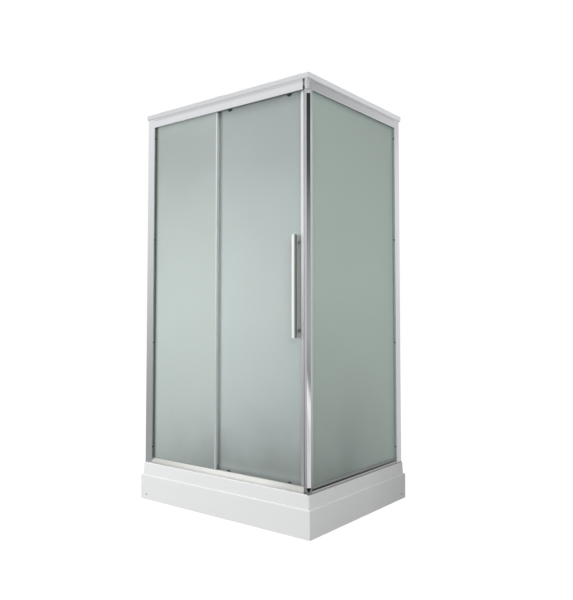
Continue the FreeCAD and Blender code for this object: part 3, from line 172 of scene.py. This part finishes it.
def base_colour(tree):
    """The socket that a dressed shader takes its colour from."""
    return tree.nodes["Principled BSDF"].inputs["Base Color"].links[0].from_socket


# Drawn aluminium: noise drawn out along the extrusion's axis, the tones of its darkest and lightest
# lines, and its roughness
GRAIN = {"x": (0.01, 1, 1), "y": (1, 0.01, 1), "z": (1, 1, 0.01)}
LINE_SCALE = 900
LINE_DETAIL = 4.0
DARK_LINES = (0.775, 0.79, 0.81)
LIGHT_LINES = (0.855, 0.87, 0.89)
SATIN = (0.30, 0.40)


def drawing_lines(tree, axis):
    """From zero to one across the fine lines along an extrusion's length."""
    return noise(tree, LINE_SCALE, GRAIN[axis], LINE_DETAIL)


def drawn_aluminium(finish, axis, metallic=1.0, level=1.0):
    """An extrusion whose drawing lines show in its colour and its surface."""
    material, tree = new_material(f"{finish}_aluminium_{axis}")
    lines = drawing_lines(tree, axis)
    dark, light = ([level * shade for shade in tone] for tone in (DARK_LINES, LIGHT_LINES))
    dress(tree, {
        "Base Color": ramp(tree, lines, ((0, dark), (1, light))),
        "Metallic": metallic,
        "Roughness": spread(tree, lines, FULL, SATIN),
        "Normal": bump(tree, lines, strength=0.08, distance=0.0002),
    })
    return material


# Painted shade and painted reflection: shades of the door's closing edge, and of the corner column's
# front and side, as they change over these heights in metres from the sill up to the top rail
EDGE_HEIGHTS = (0.2, 2.05)
EDGE_SHADES = ((0, 0.60), (0.15, 0.62), (0.36, 0.75), (0.57, 1.0), (1, 0.94))
COLUMN_FRONT = ((0, 0.59), (0.04, 0.70), (0.12, 0.88), (0.24, 1.05), (0.36, 1.16), (0.73, 1.16),
                (0.81, 1.02), (1, 1.0))
COLUMN_SIDE = ((0, 0.38), (0.04, 0.47), (0.08, 0.58), (0.16, 0.70), (0.28, 0.80), (0.40, 0.78),
               (0.73, 0.78), (0.81, 0.85), (0.89, 1.0), (1, 1.0))
EDGE_TINT = (0.83, 0.845, 0.865)

# The normal's X from which a face begins to count as one to the right, and at which it does
TURN_SPAN = (0.3, 0.6)


def painted_shade_edge_material(name, metallic, front, side):
    """Satin anodising with painted shade and reflection by height, one for the front and another for
    faces to the right.
    """
    material, tree = new_material(name)
    height = object_place(tree)["Z"]
    level = choose(
        tree,
        spread(tree, facing(tree)["X"], TURN_SPAN, FULL),
        shade_curve(tree, height, EDGE_HEIGHTS, front),
        shade_curve(tree, height, EDGE_HEIGHTS, side),
    )
    dress(tree, {
        "Base Color": scaled(tree, EDGE_TINT, level),
        "Metallic": metallic,
        "Roughness": spread(tree, drawing_lines(tree, "z"), FULL, SATIN),
    })
    return material


# How fine the haze on chrome is
HAZE_SCALE = 60


def polished_chrome(name, tint):
    """A mirror with a faint haze."""
    material, tree = new_material(name)
    dress(tree, {
        "Base Color": (*tint, 1),
        "Metallic": 1.0,
        "Roughness": spread(tree, noise(tree, HAZE_SCALE), FULL, (0.03, 0.09)),
    })
    return material


# Painted highlight: the front sill's shade from the cabin's left to its right, painted lightest
# below the door
SILL_SIDES = (cad_box[0][0], cad_box[1][0])
SILL_SHADES = ((0, 0.60), (0.2, 0.74), (0.45, 0.95), (0.75, 0.96), (0.88, 0.76), (1, 0.70))
SILL_TINT = (0.93, 0.93, 0.90)


def front_sill_painted_highlight():
    """Pale anodising with a painted highlight, lightest where the door passes over it."""
    material, tree = new_material("pale_sill")
    level = shade_curve(tree, object_place(tree)["X"], SILL_SIDES, SILL_SHADES)
    dress(tree, {
        "Base Color": scaled(tree, SILL_TINT, level),
        "Metallic": 0.3,
        "Roughness": spread(tree, drawing_lines(tree, "x"), FULL, (0.12, 0.22)),
    })
    return material


# The side sill's painted shade from its foot up to its top in metres: the nose painted darker, the
# slope at full shade and the lip painted darker along the glass, with the heights between which the
# lip begins and turns from metal to dull
SIDE_SILL_HEIGHTS = (0.197, 0.224)
SIDE_SILL_SHADES = ((0, 0.53), (0.38, 0.53), (0.43, 0.83), (0.61, 0.83), (0.72, 0.40), (1, 0.40))
SIDE_SILL_TINT = (0.98, 1.0, 0.99)
LIP_HEIGHTS = (0.2135, 0.2165)
LIP_METALLIC = (1.0, 0.15)


def side_sill_painted_shade():
    """Polished anodising with painted shade by height and a dull lip along the glass."""
    material, tree = new_material("lipped_sill")
    height = object_place(tree)["Z"]
    level = shade_curve(tree, height, SIDE_SILL_HEIGHTS, SIDE_SILL_SHADES)
    dress(tree, {
        "Base Color": scaled(tree, SIDE_SILL_TINT, level),
        "Metallic": spread(tree, height, LIP_HEIGHTS, LIP_METALLIC),
        "Roughness": spread(tree, drawing_lines(tree, "y"), FULL, (0.10, 0.20)),
    })
    return material


# The handle's pale front and its flank with painted shade, the normal's X at which the painted shade
# begins and is full, and its share of the colour beside the drawing lines
HANDLE_FRONT = (0.97, 0.97, 0.965)
HANDLE_PAINTED_SHADE = (0.20, 0.22, 0.20)
FLANK_SPAN = (0.42, 0.80)
FLANK_SHARE = 0.95


def handle_painted_shade():
    """A pale polished bar with painted shade on its flank towards the door's closing edge."""
    material, tree = new_material("handle_painted_shade")
    lines = drawing_lines(tree, "z")
    flank = spread(tree, facing(tree)["X"], FLANK_SPAN, (0, FLANK_SHARE))
    share = calculate(tree, "ADD", flank, calculate(tree, "MULTIPLY", lines, 1 - FLANK_SHARE))
    dress(tree, {
        "Base Color": ramp(tree, share, ((0, HANDLE_FRONT), (1, HANDLE_PAINTED_SHADE))),
        "Metallic": 0.25,
        "Roughness": spread(tree, lines, FULL, (0.16, 0.24)),
    })
    return material


# Painted shade: the frosting's shade from just below the sill up to the top rail in metres, as
# shares of that height. Below the middle the painted shade is stretched downwards by an amount that
# changes along the pane, and slow clouds shift it up and down
GLASS_HEIGHTS = (0.15, 2.05)
GLASS_MIDDLE = 1.1
FRONT_SHADES = ((0, 0.50), (0.06, 0.545), (0.085, 0.59), (0.11, 0.68), (0.16, 0.825), (0.23, 0.925),
                (0.31, 0.965), (0.45, 0.995), (0.57, 0.97), (0.75, 0.87), (0.87, 0.765),
                (0.95, 0.74), (1, 0.80))
SIDE_SHADES = ((0, 0.40), (0.06, 0.60), (0.11, 0.733), (0.16, 0.81), (0.23, 0.872), (0.31, 0.93),
               (0.40, 0.972), (0.52, 1.005), (0.66, 0.966), (0.84, 0.925), (0.92, 0.90), (1, 0.905))
CLOUD_SCALE = 3.0
CLOUD_NOISE = (0.3, 0.7)
CLOUD_SHIFT = (-0.06, 0.06)
ETCH_SCALE = 1800

# A painted light streak low on the door glass, over these heights in metres. The base is the shade
# that leaves the glass as it is
STREAK_HEIGHTS = (0.215, 0.285)
STREAK_BASE = 0.815
STREAK_SHADES = ((0, 0.86), (0.2, 0.87), (0.36, 0.93), (0.46, 1.0), (0.58, 0.95), (0.75, 0.86),
                 (1, STREAK_BASE))
NO_STREAK = ((0, STREAK_BASE), (1, STREAK_BASE))

# Where glass is dimmed, in metres: past these places along the front, between these heights, and
# to which level; a painted shadow behind the handle, and a darker band beside the left post's strip
PAINTED_SHADOW_BEHIND_HANDLE = ((0.462, 0.470), (0.9, 1.385), 0.56)
BESIDE_STRIP = ((-0.486, -0.500), (0.2, 2.1), 0.50)
UNDIMMED = ((0, 1), (0.2, 2.1), 1.0)
DIM_FADE = 0.006


def dimmed(tree, place, sides, heights, level):
    """One, or the level where the glass is dimmed."""
    low, high = heights
    across = spread(tree, place["X"], sides, FULL)
    above = spread(tree, place["Z"], (low - DIM_FADE, low + DIM_FADE), FULL)
    below = spread(tree, place["Z"], (high - DIM_FADE, high + DIM_FADE), (1, 0))
    share = calculate(tree, "MULTIPLY", across, calculate(tree, "MULTIPLY", above, below))
    return spread(tree, share, FULL, (1, level))


def shade_height(tree, height, stretch):
    """The height whose painted shade shows at a height: clouded, and stretched below the middle."""
    cloud = spread(tree, noise(tree, CLOUD_SCALE), CLOUD_NOISE, CLOUD_SHIFT)
    rise = calculate(tree, "SUBTRACT", calculate(tree, "ADD", height, cloud), GLASS_MIDDLE)
    lower = calculate(tree, "MULTIPLY", calculate(tree, "MINIMUM", rise, 0.0), stretch)
    return calculate(tree, "ADD", calculate(tree, "MAXIMUM", rise, lower), GLASS_MIDDLE)


def frosted_glass(node, axis, tint, shades, gains, stretches, streak=NO_STREAK, dim=UNDIMMED):
    """Acid-etched glass with a faint green body and painted shade; gains and stretches of the
    painted shade run along the pane's axis.
    """
    material, tree = new_material(node)
    place = object_place(tree)
    pane = [corner["XYZ".index(axis)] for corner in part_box(node)]
    height = shade_height(tree, place["Z"], spread(tree, place[axis], pane, stretches))
    tones = [(share, [level * shade for shade in tint]) for share, level in shades]
    body = ramp(tree, spread(tree, height, GLASS_HEIGHTS, FULL), tones)
    foot = shade_curve(tree, place["Z"], STREAK_HEIGHTS, streak)
    paler = calculate(tree, "DIVIDE", foot, STREAK_BASE)
    gain = calculate(tree, "MULTIPLY", paler, dimmed(tree, place, *dim))
    gain = calculate(tree, "MULTIPLY", gain, spread(tree, place[axis], pane, gains))
    etch = noise(tree, ETCH_SCALE, detail=2.0)
    dress(tree, {
        "Base Color": scaled(tree, body, gain),
        "IOR": 1.5,
        "Transmission Weight": 0.35,
        "Specular IOR Level": 0.4,
        "Roughness": spread(tree, etch, FULL, (0.42, 0.55)),
        "Normal": bump(tree, etch, strength=0.15, distance=0.0002),
    })
    return material


# Painted light: acrylic is painted lighter where it faces up. Its plain white and the white it is
# painted towards, which slow waves also reach, the normal's Z at which the painted light begins and
# is full, and that share of the colour beside slow waves
PLAIN_WHITE = (0.82, 0.825, 0.83)
WAVE_AND_PAINTED_LIGHT_WHITE = (0.95, 0.952, 0.955)
UP_SPAN = (0.15, 0.7)
UP_SHARE = 0.8
WAVE_SCALE = 6.0


def white_acrylic(name):
    """Glossy moulded acrylic, painted lighter where it faces up."""
    material, tree = new_material(name)
    waves = noise(tree, WAVE_SCALE)
    rise = spread(tree, facing(tree)["Z"], UP_SPAN, (0, UP_SHARE))
    share = calculate(tree, "ADD", calculate(tree, "MULTIPLY", waves, 1 - UP_SHARE), rise)
    dress(tree, {
        "Base Color": ramp(tree, share, ((0, PLAIN_WHITE), (1, WAVE_AND_PAINTED_LIGHT_WHITE))),
        "Coat Weight": 0.4,
        "Coat Roughness": 0.06,
        "Specular IOR Level": 0.45,
        "Roughness": spread(tree, waves, FULL, (0.16, 0.24)),
        "Normal": bump(tree, waves, strength=0.05, distance=0.002),
    })
    return material


# The tray and its side apron are painted a little darker towards the rear, a painted shade; the tray
# also has a grey band painted below the side sill
REAR_SPAN = (0.05, 0.45)
REAR_PAINTED_SHADE = 0.84
GREY_BAND_SIDE = (0.550, 0.555)
GREY_BAND_HEIGHTS = (0.1940, 0.1955)
GREY_BAND_LEVEL = 0.45


def tray_acrylic():
    """White acrylic with painted shade towards the rear and a grey band below the side sill."""
    material = white_acrylic("tray_acrylic")
    tree = material.node_tree
    place = object_place(tree)
    rear = spread(tree, place["Y"], REAR_SPAN, (1, REAR_PAINTED_SHADE))
    grey_band = calculate(tree, "MULTIPLY", spread(tree, place["X"], GREY_BAND_SIDE, FULL),
                      spread(tree, place["Z"], GREY_BAND_HEIGHTS, FULL))
    level = calculate(tree, "MULTIPLY", rear, spread(tree, grey_band, FULL, (1, GREY_BAND_LEVEL)))
    dress(tree, {"Base Color": scaled(tree, base_colour(tree), level)})
    return material


# A moulded surface's fine grain, and how far its roughness goes either way
MOULD_SCALE = 700
MOULD_SPREAD = 0.06


def moulded(name, first, second, roughness, metallic=0.0):
    """Plastic, rubber or coated metal with a fine grained surface between two tones."""
    material, tree = new_material(name)
    grain = noise(tree, MOULD_SCALE, detail=2.0)
    dress(tree, {
        "Base Color": ramp(tree, grain, ((0, first), (1, second))),
        "Metallic": metallic,
        "Roughness": spread(tree, grain, FULL, (roughness - MOULD_SPREAD, roughness + MOULD_SPREAD)),
        "Normal": bump(tree, grain, strength=0.15, distance=0.0003),
    })
    return material


# Dark rubber's two tones, the rear glazing strip's colour, and where from front to rear in metres
# that colour takes over
DARK_RUBBER = ((0.10, 0.13, 0.107), (0.14, 0.175, 0.145))
REAR_STRIP = (0.36, 0.45, 0.40)
STRIP_SPAN = (-0.1, 0.1)


def gasket_rubber():
    """Glazing strips: dark at the front post and clear green at the rear one."""
    material = moulded("strip_rubber", *DARK_RUBBER, 0.55)
    tree = material.node_tree
    mix = add_node(tree, "ShaderNodeMix", {
        "Factor": spread(tree, object_place(tree)["Y"], STRIP_SPAN, FULL),
        "A": base_colour(tree),
        "B": (*REAR_STRIP, 1),
    }, data_type="RGBA")
    dress(tree, {"Base Color": mix.outputs["Result"]})
    return material


# Finishes and the pieces that have them
satin = {axis: drawn_aluminium("satin", axis) for axis in GRAIN}
pale = {axis: drawn_aluminium("pale", axis, metallic=0.5, level=0.89) for axis in "xz"}
# The closing edge and corner column carry painted shade and reflection by height, the front sill a
# painted highlight, the side sill painted shade, and the handle painted shade on its flank
closing_edge = painted_shade_edge_material("closing_edge", metallic=0.5, front=EDGE_SHADES, side=EDGE_SHADES)
column_painted_shade_material = painted_shade_edge_material("column_aluminium", metallic=1.0, front=COLUMN_FRONT, side=COLUMN_SIDE)
front_sill = front_sill_painted_highlight()
side_sill = side_sill_painted_shade()
chrome = polished_chrome("polished_chrome", (0.86, 0.87, 0.89))
dark_chrome = polished_chrome("dark_chrome", (0.27, 0.28, 0.28))
handle_painted_shade_material = handle_painted_shade()
# Each pane's gains and stretches paint shade along it; the door also has a painted light streak and
# a painted shadow behind the handle
fixed_glass = frosted_glass(
    "fixed_glass", "X", tint=(0.67, 0.757, 0.722), shades=FRONT_SHADES,
    gains=(1.03, 1.05), stretches=(0.84, 0.92), dim=BESIDE_STRIP,
)
door_glass = frosted_glass(
    "door_glass", "X", tint=(0.668, 0.755, 0.736), shades=FRONT_SHADES,
    gains=(1.085, 0.97), stretches=(0.98, 1.04), streak=STREAK_SHADES, dim=PAINTED_SHADOW_BEHIND_HANDLE,
)
side_glass = frosted_glass(
    "side_glass", "Y", tint=(0.665, 0.775, 0.722), shades=SIDE_SHADES,
    gains=(1.085, 1.26), stretches=(1.27, 0.66),
)
acrylic = white_acrylic("white_acrylic")
tray_white = tray_acrylic()
dark_rubber = moulded("dark_rubber", *DARK_RUBBER, 0.55)
strip_rubber = gasket_rubber()
clear_strip = moulded("clear_strip", (0.70, 0.77, 0.74), (0.76, 0.83, 0.80), 0.35)
grey_rubber = moulded("grey_rubber", (0.42, 0.45, 0.44), (0.50, 0.53, 0.52), 0.45)
black_plastic = moulded("black_plastic", (0.02, 0.02, 0.02), (0.035, 0.035, 0.035), 0.5)
grey_plastic = moulded("grey_plastic", (0.50, 0.51, 0.52), (0.56, 0.57, 0.58), 0.4)
white_plastic = moulded("white_plastic", (0.80, 0.80, 0.79), (0.85, 0.85, 0.84), 0.35)
bright_steel = moulded("bright_steel", (0.60, 0.60, 0.60), (0.70, 0.70, 0.70), 0.28, metallic=1.0)
dark_metal = moulded("dark_metal", (0.10, 0.12, 0.11), (0.15, 0.17, 0.16), 0.35, metallic=0.6)
coated_steel = moulded("coated_steel", (0.42, 0.43, 0.44), (0.48, 0.49, 0.50), 0.45)

FINISHES = [
    (acrylic, "front_apron rear_wall_panel left_wall_panel roof_panel"),
    (tray_white, "shower_tray side_apron"),
    (satin["x"], "front_top_rail"),
    (pale["x"], "front_cornice"),
    (satin["y"], "side_top_rail side_cornice"),
    (satin["z"], "left_front_post right_rear_post rear_left_post"),
    (column_painted_shade_material, "corner_column"),
    (pale["z"], "fixed_edge_profile"),
    (closing_edge, "door_edge_profile door_magnet_seal"),
    (front_sill, "front_sill"),
    (side_sill, "side_sill"),
    (handle_painted_shade_material, "handle_bar handle_caps"),
    (dark_chrome, "corner_foot"),
    (chrome, "corner_trim handle_standoffs "
             "drain_flange drain_cover mixer_body flow_knob temperature_knob inlet_rosettes "
             "riser_pipe riser_bracket shower_head"),
    (dark_metal, "roller_bolts apron_screws post_screws"),
    (fixed_glass, "fixed_glass"),
    (door_glass, "door_glass"),
    (side_glass, "side_glass"),
    (strip_rubber, "glazing_gaskets"),
    (dark_rubber, "bump_stops"),
    (clear_strip, "fixed_edge_seal"),
    (grey_rubber, "column_magnet_seal"),
    (bright_steel, "foot_rods foot_nuts left_roller_bracket right_roller_bracket"),
    (coated_steel, "frame_long_bars frame_cross_bars"),
    (black_plastic, "foot_pads"),
    (grey_plastic, "corner_connector left_lower_housing right_lower_housing left_release_slider "
                   "right_release_slider"),
    (white_plastic, "drain_trap left_top_wheel right_top_wheel left_lower_wheel right_lower_wheel"),
]
for material, names in FINISHES:
    for name in names.split():
        slots = nodes[name].data.materials
        slots.clear()
        slots.append(material)


# Studio

def rays(tree, *kinds):
    """One for the named kinds of ray, and zero for the rest."""
    path = add_node(tree, "ShaderNodeLightPath", {}).outputs
    total = path[kinds[0]]
    for kind in kinds[1:]:
        total = calculate(tree, "MAXIMUM", total, path[kind])
    return total


# The even light on the object
AMBIENT = 0.40

# The room that metal shows, as its brightness by a ray's rise over its length: a lit wall on the
# left, a dark room above a pale floor behind the camera and, past a dark door frame on the far
# right, a low window under a dark wall. The left end is bright, and the ceiling is plain
HEIGHT_SPAN = (-0.2, 0.8)
LIT_WALL = ((0, 0.42), (0.15, 0.54), (0.27, 0.79), (0.42, 0.95), (0.52, 1.08), (0.62, 1.01),
            (0.82, 0.69), (1, 0.5))
DARK_ROOM = ((0, 0.40), (0.19, 0.40), (0.225, 0.40), (0.25, 0.39), (0.30, 0.33), (0.34, 0.27),
             (0.42, 0.09), (0.53, 0.035), (1, 0.02))
WINDOW = ((0, 0.64), (0.2, 0.76), (0.34, 1.0), (0.46, 1.0), (0.53, 0.55), (0.57, 0.10),
          (0.62, 0.03), (1, 0.02))
DOOR_FRAME = 0.06
BRIGHT_END = 1.05
CEILING = 0.55

# Where each zone of the room begins and is full, along a ray's direction: the dark room by its own
# heading in X and Y, the door frame and the window beyond it by Y, the bright end by X and the
# ceiling by Z
DARK_HEADING = (0.94, -0.34)
DARK_SPAN = (-0.10, 0.65)
FRAME_SPAN = (0.0, 0.25)
WINDOW_SPAN = (0.40, 0.65)
BRIGHT_SPAN = (-0.80, -0.95)
CEILING_SPAN = (0.74, 0.90)


def light_world():
    """White behind the object, a soft even light on it, and a room for its metal to show."""
    world = bpy.data.worlds.new("studio")
    bpy.context.scene.world = world
    world.use_nodes = True
    tree = world.node_tree
    ray = split(tree, add_node(tree, "ShaderNodeTexCoord", {}).outputs["Generated"])
    room, dark, window = (
        shade_curve(tree, ray["Z"], HEIGHT_SPAN, shades) for shades in (LIT_WALL, DARK_ROOM, WINDOW)
    )
    toward_dark = calculate(
        tree, "ADD",
        calculate(tree, "MULTIPLY", ray["X"], DARK_HEADING[0]),
        calculate(tree, "MULTIPLY", ray["Y"], DARK_HEADING[1]),
    )
    zones = (
        (toward_dark, DARK_SPAN, dark),
        (ray["Y"], FRAME_SPAN, DOOR_FRAME),
        (ray["Y"], WINDOW_SPAN, window),
        (ray["X"], BRIGHT_SPAN, BRIGHT_END),
        (ray["Z"], CEILING_SPAN, CEILING),
    )
    for way, span, brightness in zones:
        room = choose(tree, spread(tree, way, span, FULL), room, brightness)
    plain = choose(tree, rays(tree, "Is Camera Ray", "Is Transmission Ray"), AMBIENT, 1.0)
    feed(tree, tree.nodes["Background"], {
        "Color": (1, 1, 1, 1),
        "Strength": choose(tree, rays(tree, "Is Glossy Ray"), plain, room),
    })


# The floor: half its width in metres, its paint, its glow where it is seen, and how much of the
# paint with its shadows shows there
FLOOR_HALF = 20
FLOOR_PAINT = (0.7, 0.7, 0.7, 1)
FLOOR_GLOW = 1.15
FLOOR_SHADOW = 0.15
SEEN_RAYS = ("Is Camera Ray", "Is Glossy Ray", "Is Transmission Ray")

# How bright metal shows the floor from left to right in metres. In front of the object, past a
# span in Y, it follows a curve of its own, which is darker again farther off on the right
FLOOR_SIDES = (-0.6, 1.5)
FLOOR_SHADES = (0.31, 0.78)
FRONT_SPAN = (-0.6, -1.2)
FRONT_SIDES = (-0.6, 12.0)
FRONT_FLOOR = ((0, 0.31), (0.127, 0.62), (0.16, 0.73), (0.29, 0.76), (0.35, 1.05), (0.44, 1.05),
               (0.51, 0.68), (0.56, 0.43), (0.62, 0.31), (0.7, 0.29), (1, 0.36))


def floor_finish():
    """White that still takes a soft shadow, with a brightness of its own in metal."""
    material, tree = new_material("studio_floor")
    tree.nodes.clear()
    place = object_place(tree)
    beside = spread(tree, place["X"], FLOOR_SIDES, FLOOR_SHADES)
    before = shade_curve(tree, place["X"], FRONT_SIDES, FRONT_FLOOR)
    in_metal = choose(tree, spread(tree, place["Y"], FRONT_SPAN, FULL), beside, before)
    paint = add_node(tree, "ShaderNodeBsdfDiffuse", {"Color": FLOOR_PAINT})
    glow = add_node(tree, "ShaderNodeEmission", {
        "Strength": choose(tree, rays(tree, "Is Glossy Ray"), FLOOR_GLOW, in_metal),
    })
    mix = add_node(tree, "ShaderNodeMixShader", {
        "Fac": calculate(tree, "MULTIPLY", rays(tree, *SEEN_RAYS), 1 - FLOOR_SHADOW),
        1: paint.outputs["BSDF"],
        2: glow.outputs["Emission"],
    })
    add_node(tree, "ShaderNodeOutputMaterial", {"Surface": mix.outputs["Shader"]})
    return material


def studio_floor():
    """A floor for the picture alone, at the object's foot."""
    mesh = bpy.data.meshes.new("studio_floor")
    corners = [(x * FLOOR_HALF, y * FLOOR_HALF, 0) for x, y in ((-1, -1), (1, -1), (1, 1), (-1, 1))]
    mesh.from_pydata(corners, [], [(0, 1, 2, 3)])
    mesh.materials.append(floor_finish())
    floor = bpy.data.objects.new("studio_floor", mesh)
    bpy.context.scene.collection.objects.link(floor)


# Square lamps: each one's name, place, aim and side in metres, and its power in watts
LAMPS = (
    ("key_light", (-1.7, -2.9, 1.3), (0, -0.3, 1.1), 1.4, 47),
    ("side_fill", (2.3, -1.9, 1.9), (0.575, -0.3, 1.3), 1.2, 17),
    ("top_light", (1.0, -1.6, 3.6), (0.2, -0.2, 0.2), 2.0, 25),
)


def soft_light(name, place, aim, side, power):
    """A lamp that lights the object but doesn't show in its metal."""
    data = bpy.data.lights.new(name, "AREA")
    data.shape = "SQUARE"
    data.size = side
    data.energy = power
    lamp = bpy.data.objects.new(name, data)
    lamp.location = place
    right, ahead, up = (end - start for start, end in zip(place, aim))
    tilt = math.atan2(up, math.hypot(right, ahead))
    lamp.rotation_euler = (math.pi / 2 + tilt, 0, math.atan2(-right, ahead))
    lamp.visible_glossy = False
    bpy.context.scene.collection.objects.link(lamp)


def photo_camera():
    """The camera that took the photograph, as fitted to its long edges."""
    data = bpy.data.cameras.new("photo_camera")
    data.sensor_fit = "VERTICAL"
    data.sensor_height = SENSOR_HEIGHT * MILLIMETRES
    data.lens = data.sensor_height * FOCAL_PIXELS / IMAGE_HEIGHT
    data.shift_y = AXIS_ROW / IMAGE_HEIGHT - 0.5
    camera = bpy.data.objects.new("photo_camera", data)
    camera.location = CAMERA_PLACE
    camera.rotation_euler = (math.radians(90 + CAMERA_PITCH), 0, math.radians(CAMERA_YAW))
    bpy.context.scene.collection.objects.link(camera)
    bpy.context.scene.camera = camera


light_world()
studio_floor()
for lamp in LAMPS:
    soft_light(*lamp)
photo_camera()
bpy.context.scene.view_settings.view_transform = "Standard"
